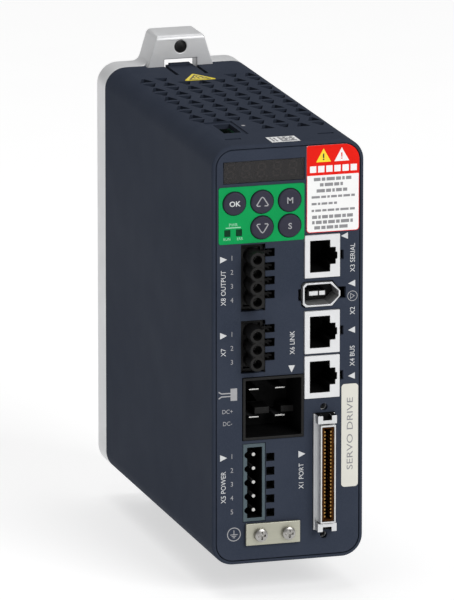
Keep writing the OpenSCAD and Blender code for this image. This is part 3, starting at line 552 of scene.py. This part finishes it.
def stand_for(node, bm):
    """Makes a piece that takes a CAD node's place, body and slot."""
    slot = SLOT_OF[node]
    piece = add_piece(node + "_finished", bm, FINISH[slot], body_of(NODES[node])[0])
    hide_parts(node)
    return piece


def line_faces(piece, material, wanted):
    """Gives the faces that wanted(centre, normal) picks a second material. Centres are in millimetres."""
    piece.data.materials.append(material)
    for face in piece.data.polygons:
        if wanted(face.center / MM, face.normal):
            face.material_index = 1


# ---------------------------------------------------------------- printing on flat faces

def face_plane(origin, right, up):
    """Maps (across, up, out) on a flat face, in millimetres, to the frame, in metres."""
    across, rise = Vector(right), Vector(up)
    matrix = Matrix.Identity(4)
    for column, axis in enumerate((across, rise, across.cross(rise))):
        matrix.col[column] = (*(axis * MM), 0)
    matrix.translation = Vector(origin) * MM
    return matrix


def front_face(proud=0.0):
    return face_plane((0, FRONT - proud, 0), (1, 0, 0), (0, 0, 1))


def arc(x, z, radius, start, stop, steps=8):
    turns = [math.radians(start + (stop - start) * i / steps) for i in range(steps + 1)]
    return [(x + radius * math.cos(a), z + radius * math.sin(a)) for a in turns]


# Lengths of the small blocks that stand for words, their gap, and the shortest stretch that still gets one
BLOCK_LENGTHS = (2.4, 1.3, 3.0, 1.8, 0.9, 2.1, 1.5)
BLOCK_GAP = 0.45
BLOCK_LEAST = 0.8
ARROW_REACH = 1.55
MITRE_LEAST = 0.4


class Print:
    """Flat shapes a few hundredths of a millimetre thick, drawn in millimetres on one face."""

    def __init__(self, plane, thick=INK, sunk=0.01):
        self.bm = bmesh.new()
        self.plane = plane
        self.levels = (-sunk, thick)

    def layer(self, points, level):
        return [self.bm.verts.new(self.plane @ Vector((*p, self.levels[level]))) for p in points]

    def shape(self, points):
        low, high = self.layer(points, 0), self.layer(points, 1)
        count = len(points)
        self.bm.faces.new(high)
        self.bm.faces.new(list(reversed(low)))
        for i in range(count):
            j = (i + 1) % count
            self.bm.faces.new((low[i], low[j], high[j], high[i]))

    def bar(self, x, z, width, height):
        dx, dz = width / 2, height / 2
        self.shape([(x - dx, z - dz), (x + dx, z - dz), (x + dx, z + dz), (x - dx, z + dz)])

    def stroke(self, points, width, closed=False):
        """A line of even width through the points, with mitred corners."""
        count = len(points)
        sides = ([], [])
        for i, point in enumerate(points):
            here = Vector(point)
            following = Vector(points[(i + 1) % count])
            came = (here - Vector(points[i - 1])).normalized() if closed or i else None
            goes = (following - here).normalized() if closed or i < count - 1 else None
            first, second = came or goes, goes or came
            normal = Vector((-first.y - second.y, first.x + second.x)).normalized()
            reach = width / 2 / max(MITRE_LEAST, normal.dot(Vector((-first.y, first.x))))
            sides[0].append(tuple(here + normal * reach))
            sides[1].append(tuple(here - normal * reach))
        low_left, low_right, high_left, high_right = (
            self.layer(side, level) for level in (0, 1) for side in sides)
        for i in range(count if closed else count - 1):
            j = (i + 1) % count
            self.bm.faces.new((high_left[i], high_right[i], high_right[j], high_left[j]))
            self.bm.faces.new((low_left[i], low_left[j], low_right[j], low_right[i]))
            self.bm.faces.new((low_left[i], high_left[i], high_left[j], low_left[j]))
            self.bm.faces.new((low_right[i], low_right[j], high_right[j], high_right[i]))
        if not closed:
            for i in (0, -1):
                self.bm.faces.new((low_left[i], low_right[i], high_right[i], high_left[i]))

    def arrow(self, x, z, way):
        """A solid arrowhead. way is the direction that it points in, in degrees."""
        turns = [math.radians(way + a) for a in (0, 130, 230)]
        self.shape([(x + ARROW_REACH * math.cos(a), z + ARROW_REACH * math.sin(a)) for a in turns])

    def words(self, text, x, z, height, turn=0, squeeze=0.92, weight=0.0):
        """Plain lettering, centred on a point. turn 90 reads upwards."""
        curve = bpy.data.curves.new("lettering", "FONT")
        curve.body = text
        curve.offset = weight
        curve.align_x = "CENTER"
        curve.resolution_u = 3
        curve.extrude = 0.5
        written = bpy.data.objects.new("lettering", curve)
        mesh = written.to_mesh()
        heights = [v.co.y for v in mesh.vertices]
        low, scale = min(heights), height / (max(heights) - min(heights))
        swing = Matrix.Rotation(math.radians(turn), 4, "Z")
        for vertex in mesh.vertices:
            across, rise = vertex.co.x * scale * squeeze, (vertex.co.y - low) * scale - height / 2
            flat = swing @ Vector((across, rise, 0))
            level = self.levels[1 if vertex.co.z > 0 else 0]
            vertex.co = self.plane @ Vector((x + flat.x, z + flat.y, level))
        before = len(self.bm.verts)
        self.bm.from_mesh(mesh)
        self.bm.verts.ensure_lookup_table()
        bmesh.ops.remove_doubles(self.bm, verts=self.bm.verts[before:], dist=1e-7)
        written.to_mesh_clear()
        bpy.data.objects.remove(written)
        bpy.data.curves.remove(curve)

    def blocks(self, start, stop, level, height, first=0, upright=False):
        """A row of small blocks that stands for a line of words."""
        at, i = start, first
        while stop - at > BLOCK_LEAST:
            length = min(BLOCK_LENGTHS[i % len(BLOCK_LENGTHS)], stop - at)
            middle = at + length / 2
            if upright:
                self.bar(level, middle, height, length)
            else:
                self.bar(middle, level, length, height)
            at += length + BLOCK_GAP
            i += 1

    def piece(self, name, ink, slot, body="drive"):
        return add_piece(name, self.bm, ink, body)


# ---------------------------------------------------------------- housing, cover and heatsink

HOUSING_CORNER = 7.6
COVER_INSET = 1.55


def on_outline(edge, half_w, half_h, corner):
    """Whether an edge lies on the front plane's rounded outline of these half sizes."""
    slack = 0.05
    for vertex in edge.verts:
        at = vertex.co / MM
        reach = Vector((max(abs(at.x) - half_w + corner, 0), max(abs(at.z) - half_h + corner, 0))).length
        if abs(at.y - FRONT) > FLUSH or reach < corner - slack:
            return False
    return True


def on_front(edge):
    return all(abs(v.co.y / MM - FRONT) < FLUSH for v in edge.verts)


def make_housing():
    finished("housing_shell", radius=1.1, segments=5,
             wanted=lambda edge: on_outline(edge, SIDE, TOP, HOUSING_CORNER))


def make_cover():
    """The front cover, in the housing's plastic made lighter as painted light on its lit front, with painted
    shade in its latch pockets and deep faces.
    """

    def outer(edge):
        return on_outline(edge, SIDE - COVER_INSET, TOP - COVER_INSET, HOUSING_CORNER - COVER_INSET)

    def opening(edge):
        return on_front(edge) and not outer(edge)

    bm = node_mesh("front_cover")
    round_edges(bm, sharp_edges(bm, outer), radius=0.3, segments=3)
    round_edges(bm, sharp_edges(bm, opening), radius=0.1, segments=2)
    cover = stand_for("front_cover", bm)
    # The cover is the housing's plastic, made 1.1 times lighter as painted light on the lit front face.
    cover.data.materials[0] = spark_texture("cover_moulding_painted_light", painted_light_lift=1.1)
    pocket_start = box_mm("motor_header")[1].x
    pocket_stop = pocket_start + 3.7
    pocket_top = FRONT + 0.3
    shade_depth = FRONT + 2.2

    def in_shaded_pocket(at, normal):
        return at.y > pocket_top and pocket_start < at.x < pocket_stop and -normal.y < 0.99

    # Painted shade: the latch pockets and all faces more than 2.2 mm behind the front get near black, over
    # the cover's own plastic.
    line_faces(cover, FINISH["terminal_black"], lambda at, normal: in_shaded_pocket(at, normal) or at.y > shade_depth)


def make_heatsink():
    """Rounds the plate and its tabs, but not the leg inside the housing, and paints shade on the walls of the
    mounting holes.
    """
    leg_length = 14.1
    leg_front = box_mm("heatsink_base")[1].y - leg_length
    holes = next(mount["dims"] for mount in frame["record"]["mounts"] if mount["name"] == "mounting_holes")
    hole_z = holes["spacing_y_mm"] / 2
    shaded_bore_reach = holes["hole_r_mm"] + 0.05

    def outside(edge):
        return edge.is_convex and all(v.co.y / MM > leg_front for v in edge.verts)

    piece = finished("heatsink_base", radius=0.45, segments=3, wanted=outside)
    # Painted shade: the walls of the mounting holes get the dark epoxy finish in place of the alloy.
    line_faces(piece, FINISH["component_dark"], lambda at, normal: (
        abs(normal.y) < 0.3 and math.hypot(at.x, abs(at.z) - hole_z) < shaded_bore_reach))


# ---------------------------------------------------------------- connectors

def faces_front(normal):
    """Whether a face looks more forwards than sideways."""
    return normal.y < -0.5


def inside(node, wall, rim=0.45):
    """Picks the faces of a socket's cavity, which get painted shade."""
    low, high = box_mm(node)

    def wanted(at, normal):
        across = low.x + wall < at.x < high.x - wall
        return across and low.z + wall < at.z < high.z - wall and at.y > low.y + rim

    return wanted


def make_jacks():
    for place in ("upper", "middle", "lower"):
        node = "rj45_jack_" + place
        # Painted shade: the cavity walls of each jack get near black over the pale jack plastic.
        line_faces(finished(node, 0.18), INKS["painted_shade"], inside(node, 0.4))


def make_power_connectors():
    for name in ("motor", "brake"):
        finished(name + "_header", 0.15)
        header_edge = box_mm(name + "_header")[1].x
        # Painted shade: the plug's faces beside the header, down in the cover's pockets, get near black.
        line_faces(finished(name + "_plug", 0.14), INKS["painted_shade"], lambda at, normal: at.x > header_edge)
        finished(name + "_plug_clamps")
    # Painted shade: the empty header's cavity gets near black over its grey moulding.
    line_faces(finished("mains_header", 0.2), INKS["painted_shade"], inside("mains_header", 0.6))

    # Painted shade: the socket's inner walls, and its floor behind the ledges, get near black.
    cavity = inside("dc_bus_socket", 0.5)
    ledge_depth = 12
    behind_ledges = box_mm("dc_bus_socket")[0].y + ledge_depth
    line_faces(finished("dc_bus_socket", 0.22), INKS["painted_shade"], lambda at, normal: (
        cavity(at, normal) and (not faces_front(normal) or at.y > behind_ledges)))
    # Painted shade: the blades' faces that do not face forwards get the dark epoxy finish, leaving only their
    # front edges bright.
    blades = finished("dc_bus_contacts", 0.1)
    line_faces(blades, FINISH["component_dark"], lambda at, normal: not faces_front(normal))


def make_signal_connectors():
    radii = {"encoder_shell": 0.12, "encoder_insert": 0.1, "io_connector_insert": 0.1,
             "io_connector_contacts": 0.0, "io_screw_locks": 0.15, "rj45_contacts": 0.0}
    for node, radius in radii.items():
        finished(node, radius)

    low, high = box_mm("io_connector_shell")
    middle = (low + high) / 2
    notch_half_w = 1.65
    notch_floor = high.z - middle.z - 1.85
    notch_start = low.y + 1.3
    # Painted shade: the shell's faces in its keying notches, behind the front rim, get near black.
    line_faces(finished("io_connector_shell", 0.1), INKS["painted_shade"], lambda at, normal: (
        abs(at.x - middle.x) < notch_half_w and abs(at.z - middle.z) > notch_floor and at.y > notch_start))

    # Painted shade: the contacts' upper and front faces get near black over their metal.
    line_faces(finished("encoder_contacts"), INKS["painted_shade"], lambda at, normal: (
        normal.z > 0.5 or faces_front(normal)))
    low, high = box_mm("encoder_contacts")
    wide = high.x - low.x
    cap_height = 1.45
    # Where the two pale caps on the tongue start and stop, as shares of its width
    cap_shares = ((0, 0.55), (0.64, 1))
    caps = Print(front_face(FRONT - box_mm("encoder_insert")[0].y), thick=0.2, sunk=0.05)
    for start, stop in cap_shares:
        caps.bar(low.x + wide * (start + stop) / 2, (low.z + high.z) / 2, wide * (stop - start), cap_height)
    caps.piece("encoder_tongue_caps", FINISH["jack_plastic"], "jack_plastic")


def spin_profile(bm, profile, place, steps=40):
    """Turns a profile of (radius, depth) about a line along Y through place, and closes its ends."""
    rings = []
    for radius, depth in profile:
        rings.append([
            bm.verts.new(Vector((
                place[0] + radius * math.cos(2 * math.pi * i / steps),
                FRONT + depth,
                place[1] + radius * math.sin(2 * math.pi * i / steps),
            )) * MM)
            for i in range(steps)
        ])
    for ring, following in zip(rings, rings[1:]):
        for i in range(steps):
            j = (i + 1) % steps
            bm.faces.new((ring[i], ring[j], following[j], following[i]))
    bm.faces.new(rings[0])
    bm.faces.new(list(reversed(rings[-1])))


def carved(bm, tool):
    """The first mesh with the second cut out of it."""
    shapes = []
    for part in (bm, tool):
        bmesh.ops.recalc_face_normals(part, faces=part.faces)
        mesh = bpy.data.meshes.new("carving")
        part.to_mesh(mesh)
        part.free()
        shapes.append(bpy.data.objects.new("carving", mesh))
        SCENE.collection.objects.link(shapes[-1])
    cut = shapes[0].modifiers.new("cut", "BOOLEAN")
    cut.operation = "DIFFERENCE"
    cut.object = shapes[1]
    made = bmesh.new()
    made.from_object(shapes[0], bpy.context.evaluated_depsgraph_get())
    for shape in shapes:
        mesh = shape.data
        bpy.data.objects.remove(shape)
        bpy.data.meshes.remove(mesh)
    return made


def make_earth_terminal():
    """The earth plate, and pan head screws with a cross recess."""
    finished("ground_bracket", radius=0.3, segments=3)
    low, high = box_mm("ground_screws")
    middle_z = (low.z + high.z) / 2
    head, shank = 2.4, 1.75
    dome = 0.75
    face = low.y - FRONT
    seat = face + 1.9
    shank_end = 5
    recess = 1.1
    arm, half = 1.5, 0.42
    turns = [math.radians(t) for t in range(10, 80, 10)]
    profile = [(head * math.sin(a), face + dome * (1 - math.cos(a))) for a in turns]
    profile += [(head, face + dome + 0.2), (head, seat - 0.1), (head - 0.15, seat)]
    profile += [(shank, seat), (shank, shank_end)]
    bm = bmesh.new()
    cross = Print(front_face(-face), thick=1, sunk=recess)
    outline = (
        (-half, -arm), (half, -arm), (half, -half), (arm, -half), (arm, half), (half, half),
        (half, arm), (-half, arm), (-half, half), (-arm, half), (-arm, -half), (-half, -half),
    )
    for x in (low.x + head, high.x - head):
        spin_profile(bm, profile, (x, middle_z))
        cross.shape([(x + across, middle_z + up) for across, up in outline])
    stand_for("ground_screws", carved(bm, cross.bm))


# ---------------------------------------------------------------- keypad and display

def make_key_cap(key, face, centre, flange, stem_end):
    """A dished round cap on a flange and a stem. Depths are from the front face."""
    radius, stem = 4.1, 1.5
    flange_front, flange_back = 2.1, 2.8
    profile = [(3.35, face), (3.7, face + 0.05), (3.95, face + 0.18), (radius, face + 0.45)]
    profile += [(radius, flange_front), (flange, flange_front), (flange, flange_back)]
    profile += [(stem, flange_back), (stem, stem_end)]
    bm = bmesh.new()
    spin_profile(bm, profile, (centre.x, centre.z), 56)
    cap = add_piece(f"button_{key}_cap", bm, FINISH["key_plastic"], "key_" + key)
    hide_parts("button_" + key)


def make_keys():
    legends = {"ok": "OK", "up": None, "mode": "M", "down": None, "set": "S"}
    arrow_side = [(0.75, -1.35), (1.75, -1.35), (2.05, -1.0), (0.45, 1.5), (0, 1.75)]
    arrow = arrow_side + [(-x, z) for x, z in reversed(arrow_side[:-1])]
    for key, legend in legends.items():
        low, high = box_mm("button_" + key)
        centre = (low + high) / 2
        face = low.y - FRONT
        make_key_cap(key, face, centre, (high.x - low.x) / 2, high.y - FRONT)
        drawn = Print(front_face(-face))
        if legend:
            height = 1.9 if legend == "OK" else 2.2
            drawn.words(legend, centre.x, centre.z, height, squeeze=1.05, weight=0.018)
        else:
            way = 1 if key == "up" else -1
            drawn.stroke([(centre.x + x, centre.z + way * z) for x, z in arrow], 0.38)
        ink = INKS["white" if key == "ok" else "pale"]
        drawn.piece(f"button_{key}_legend", ink, "label_white", "key_" + key)


def make_keypad():
    """The film, the lamp lenses and the marks beside the lamps."""
    finished("keypad_overlay", 0.08)
    finished("led_lenses", 0.15)
    low, high = box_mm("led_lenses")
    marks = Print(front_face(FRONT - box_mm("keypad_overlay")[0].y))
    lamp_half = 1.05
    left, right = low.x + lamp_half, high.x - lamp_half
    middle = (left + right) / 2
    under = low.z - 0.95
    marks.bar(middle, high.z + 0.75, 5.4, 0.35)
    marks.words("PWR", middle, high.z + 1.75, 1.1)
    marks.words("RUN", left - 0.2, under, 0.95)
    marks.words("ERR", right + 0.3, under, 0.95)
    marks.piece("keypad_marks", INKS["mint"], "label_white")


def make_display():
    """Five digits of seven bars with a point each, unlit, behind the smoked window."""
    low, high = box_mm("display_module")
    digits = 5
    step = (high.x - low.x) / digits
    half_h, half_w = 2.3, 1.25
    bar_width, bar_gap = 0.5, 0.38
    slant = 0.12
    point_radius, point_gap = 0.34, 0.75
    middle = (low.z + high.z) / 2
    # Each bar's ends, in half widths and half heights from the digit's middle
    bars = (
        ((-1, 1), (1, 1)), ((-1, 0), (1, 0)), ((-1, -1), (1, -1)), ((-1, 0), (-1, 1)),
        ((1, 0), (1, 1)), ((-1, -1), (-1, 0)), ((1, -1), (1, 0)),
    )
    segments = Print(front_face(FRONT - low.y), thick=0.04)
    for i in range(digits):
        x = low.x + (i + 0.45) * step
        for bar in bars:
            start, stop = (
                Vector((x + across * half_w + up * half_h * slant, middle + up * half_h))
                for across, up in bar
            )
            trim = (stop - start).normalized() * bar_gap
            segments.stroke([tuple(start + trim), tuple(stop - trim)], bar_width)
        segments.shape(arc(x + half_w + point_gap, middle - half_h, point_radius, 0, 324, 9))
    segments.piece("display_segments", INKS["segment"], "label_white")
    finished("display_window", 0.08)


# ---------------------------------------------------------------- labels

def exclamation(face, x, sign_base, width, tall, point):
    """A mark inside a warning triangle: a bar over a square point."""
    mark = Print(face, sunk=0.005)
    mark.bar(x, sign_base + 2.2, width, tall)
    mark.bar(x, sign_base + point, width, width)
    return mark


def make_notice_label():
    """A red and white notice: two plain warning triangles, a row of squares and rows of grey blocks."""
    low, high = box_mm("notice_label")
    face = front_face(FRONT - low.y)
    print_face = front_face(FRONT - low.y + INK)
    mark_face = front_face(FRONT - low.y + 2 * INK)
    top_corner, foot_corner, left_corner = 5.65, 1.2, 0.4
    band = high.z - 10.7
    red = Print(face)
    red.shape(
        arc(high.x - top_corner, high.z - top_corner, top_corner, 0, 90)
        + [(low.x + left_corner, high.z), (low.x, high.z - left_corner), (low.x, band), (high.x, band)]
    )
    rim_width = 0.2
    inset = rim_width / 2
    foot = foot_corner - inset
    rim = [(low.x + inset, band)] + arc(low.x + foot_corner, low.z + foot_corner, foot, 180, 270)
    rim += arc(high.x - foot_corner, low.z + foot_corner, foot, 270, 360) + [(high.x - inset, band)]
    red.stroke(rim, rim_width)
    red.piece("notice_red", INKS["red"], "label_white")

    half = 2.7
    sign_base, sign_top = high.z - 6, high.z - 1.2
    left, right = low.x + 6.1, low.x + 12.7
    square, square_pitch = 2.3, 2.95
    first_square = low.x + 2.3
    for x, ink, name in ((left, "yellow", "notice_sign_left"), (right, "snow", "notice_sign_right")):
        drawn = Print(print_face)
        drawn.shape([(x - half, sign_base), (x + half, sign_base), (x, sign_top)])
        if ink == "snow":
            for i in range(6):
                drawn.bar(first_square + i * square_pitch, high.z - 8.5, square, square)
        drawn.piece(name, INKS[ink], "label_white")
    black_mark = exclamation(mark_face, left, sign_base, width=0.5, tall=1.6, point=0.9)
    black_mark.piece("notice_sign_mark", INKS["black"], "label_white")
    red_mark = exclamation(mark_face, right, sign_base, width=0.4, tall=1.5, point=0.95)
    red_mark.piece("notice_sign_mark_red", INKS["red"], "label_white")

    # Each row: how far below the label's top it stands, where it starts and where it stops
    bold = (
        (12.1, 2.6, 16.2), (14.1, 4.8, 14.0), (16.2, 3.6, 15.2), (25.5, 2.0, 16.8), (27.4, 2.0, 16.8),
        (29.3, 2.8, 15.8),
    )
    light = ((18.4, 1.8, 18.0), (20.8, 1.8, 11.0), (23.2, 1.8, 18.0))
    lines = Print(face)
    for rows, height, shift in ((bold, 1.15, 0), (light, 0.8, 2)):
        for i, (down, start, stop) in enumerate(rows):
            lines.blocks(low.x + start, low.x + stop, high.z - down, height, first=i + shift)
    lines.piece("notice_lines", INKS["grey"], "label_white")


def make_model_label():
    """The strip label, with generic words that read upwards."""
    centre = centre_mm("model_label")
    model = Print(front_face(FRONT - box_mm("model_label")[0].y))
    model.words("SERVO DRIVE", centre.x, centre.z + 0.6, 2.2, turn=90, squeeze=1.4)
    model.piece("model_label_words", INKS["grey"], "label_white")
    finished("model_label").data.materials[0] = INKS["stock"]


def top_face(level):
    return face_plane((0, 0, level), (1, 0, 0), (0, 1, 0))


def make_code_label():
    """A square of cells that encodes nothing, beside two rows of blocks."""
    low, high = box_mm("code_label")
    code = Print(top_face(high.z))
    cells = 9
    wide = 0.62
    deep = wide * 1.2
    left, near = low.x + 4.2, low.y + 0.92
    for row in range(cells):
        for column in range(cells):
            if row == 0 or column == 0 or (row * 5 + column * 3 + row * column) % 4 < 2:
                code.bar(left + column * wide, near + row * deep, wide, deep)
    margin = 0.8
    for across, first in ((1.2, 0), (2.4, 3)):
        code.blocks(low.y + margin, high.y - margin, low.x + across, 0.7, first=first, upright=True)
    code.piece("code_label_cells", INKS["grey"], "label_white")


def make_hot_surface_sticker():
    """A triangle with three waves of heat."""
    low, high = box_mm("hot_surface_sticker")
    middle = (low.x + high.x) / 2
    heat = Print(top_face(high.z))
    inset = 1.1
    corner = 1.9 * inset
    heat.stroke([(low.x + corner, low.y + inset), (high.x - corner, low.y + inset),
                 (middle, high.y - 2 * inset)], 0.6, closed=True)
    foot, rise, sway, swing = low.y + 2.7, 0.75, 0.3, 1.6
    for x in (-1.5, 0, 1.5):
        steps = range(4 if x else 5)
        heat.stroke([(middle + x + sway * math.sin(swing * t), foot + rise * t) for t in steps], 0.55)
    heat.piece("hot_surface_marks", INKS["black"], "label_yellow")


def make_rating_label():
    """A framed label of grey blocks and bars. Heights are from its middle."""
    low, high = box_mm("rating_label")
    rating = Print(face_plane((high.x, 0, 0), (0, 1, 0), (0, 0, 1)))
    edge = 1.5
    near, far, foot, head = low.y + edge, high.y - edge, low.z + edge, high.z - edge
    rating.stroke([(near, foot), (far, foot), (far, head), (near, head)], 0.3, closed=True)
    middle = (low.z + high.z) / 2
    for dz in (16, -8, -24):
        rating.bar((low.y + high.y) / 2, middle + dz, far - near, 0.25)
    text_start, text_stop = low.y + 4, low.y + 60
    for i, dz in enumerate((36, 33, 30, 25, 22, 19)):
        heading = i % 3 == 0
        stop = low.y + 38 if heading else text_stop
        rating.blocks(text_start, stop, middle + dz, 2.2 if heading else 1.5, first=i)
    for i, dz in enumerate((10, 6.5, 3, -0.5, -4)):
        rating.blocks(text_start, low.y + 26, middle + dz, 1.2, first=i)
        rating.blocks(low.y + 32, text_stop, middle + dz, 1.2, first=i + 4)
    widths = (0.5, 0.9, 0.35, 0.7)
    for i in range(38):
        rating.bar(low.y + 6 + i * 1.5, middle - 15.5, widths[(i * 3 + i // 5) % 4], 9)
    for i, dz in enumerate((-28, -31, -34)):
        rating.blocks(text_start, low.y + 58 - 8 * i, middle + dz, 1.2, first=2 * i)
    rating.piece("rating_label_blocks", INKS["grey"], "label_white")


# ---------------------------------------------------------------- screen print on the cover

PRINT_TALL = 1.75


def print_power_marks(ink, pale, left):
    """An arrow, a name and pole numbers to the left of each terminal block."""
    pole_pitch = 5
    arrow_x, name_x, digit_x = left + 2.25, left + 2.45, left + 5.55
    # Each block's name, and how far below the block's middle the name stands
    names = {
        "motor_header": ("X8 OUTPUT", 3),
        "brake_header": ("X7", 1.35),
        "mains_header": ("X5 POWER", 1),
    }
    for node, (name, lower) in names.items():
        low, high = box_mm(node)
        middle = (low.z + high.z) / 2
        poles = int((high.z - low.z) / pole_pitch)
        first = middle + (poles - 1) / 2 * pole_pitch
        ink.arrow(arrow_x, first - 0.4, 0)
        ink.words(name, name_x, middle - lower, PRINT_TALL, turn=90)
        for i in range(poles):
            pale.words(str(i + 1), digit_x, first - pole_pitch * i, 1.7)


def print_signal_marks(ink, pale, column):
    """Arrows and names above the DC bus socket, beside the 50-way connector and down the right column."""
    bus = box_mm("dc_bus_socket")[1]
    ink.arrow(bus.x - 4.4, bus.z + 2.4, 270)
    ink.words("X6 LINK", bus.x - 4.2, bus.z + 11.5, PRINT_TALL, turn=90)
    port_x, port_z = box_mm("io_connector_shell")[0].x - 4.45, centre_mm("io_connector_shell").z
    ink.arrow(port_x, port_z + 6.7, 0)
    ink.words("X1 PORT", port_x, port_z - 1.2, PRINT_TALL, turn=90)

    upper, central, bottom, encoder = (centre_mm(node).z for node in (
        "rj45_jack_upper", "rj45_jack_middle", "rj45_jack_lower", "encoder_shell"))
    ink.arrow(column - 2.7, upper + 6.65, 180)
    for z in (encoder + 3, central - 0.15, bottom - 0.55):
        ink.arrow(column, z, 180)
    for name, z in (("X3 SERIAL", upper - 1.35), ("X4 BUS", bottom + 6.65), ("X2", encoder - 6.8)):
        ink.words(name, column, z, PRINT_TALL, turn=90)

    ring_z = encoder - 1.5
    fine = 0.22
    pale.stroke(arc(column, ring_z, 1.75, 0, 348, 29), fine, closed=True)
    corners = [(column - 0.7, ring_z - 0.9), (column - 0.7, ring_z + 0.9), (column + 0.7, ring_z)]
    pale.stroke(corners, fine, closed=True)


def print_bus_marks(pale, left):
    """The poles' names beside the DC bus socket, and a sign of a block with two leads above them."""
    bus_z = centre_mm("dc_bus_socket").z
    pale.words("DC+", left + 3.95, bus_z - 0.4, 1.5)
    pale.words("DC-", left + 3.95, bus_z - 4.7, 1.5)
    block_z = bus_z + 5.6
    pale.bar(left + 6.25, block_z, 2.4, 4.4)
    for dz in (-0.55, 0.55):
        wire = ((0.75, 2.2 * dz), (1.75, dz), (5.05, dz))
        pale.stroke([(left + across, block_z + up) for across, up in wire], 0.42)


def make_front_print():
    """Generic marks, each placed beside the socket that it belongs to."""
    low, high = box_mm("front_cover")
    column = high.x - 2.55
    ink, pale = Print(front_face()), Print(front_face())
    print_power_marks(ink, pale, low.x)
    print_signal_marks(ink, pale, column)
    print_bus_marks(pale, low.x)
    ink.piece("front_print", INKS["white"], "label_white")
    pale.piece("front_print_pale", INKS["pale"], "label_white")


def make_earth_symbol():
    """The sign of an earth terminal, beside the earth plate."""
    x = box_mm("front_cover")[0].x + 6.3
    z = centre_mm("ground_bracket").z + 0.25
    earth = Print(front_face())
    earth.stroke(arc(x, z, 2.35, 0, 350, 35), 0.3, closed=True)
    earth.bar(x, z + 0.75, 0.28, 1.5)
    for i, half in enumerate((1.3, 0.85, 0.4)):
        earth.bar(x, z - 0.1 - 0.55 * i, 2 * half, 0.26)
    earth.piece("earth_symbol", INKS["pale"], "label_white")


def make_top_mark():
    """A small dash on the top, before the vents."""
    dot = Print(top_face(TOP))
    dot.bar(box_mm("code_label")[0].x - 1.7, FRONT + 30.8, 1.2, 1.6)
    dot.piece("top_mark", INKS["pale"], "label_white")


# ---------------------------------------------------------------- the whole drive

def finish_nodes():
    """Gives every CAD node the material of its slot."""
    for name, node in NODES.items():
        for material_slot in node.material_slots:
            material_slot.material = FINISH[SLOT_OF[name]]


add_camera()
add_studio()
finish_nodes()
make_housing()
make_cover()
make_heatsink()
make_jacks()
make_power_connectors()
make_signal_connectors()
make_earth_terminal()
make_keys()
make_keypad()
make_display()
make_notice_label()
make_model_label()
make_code_label()
make_hot_surface_sticker()
make_rating_label()
make_front_print()
make_earth_symbol()
make_top_mark()
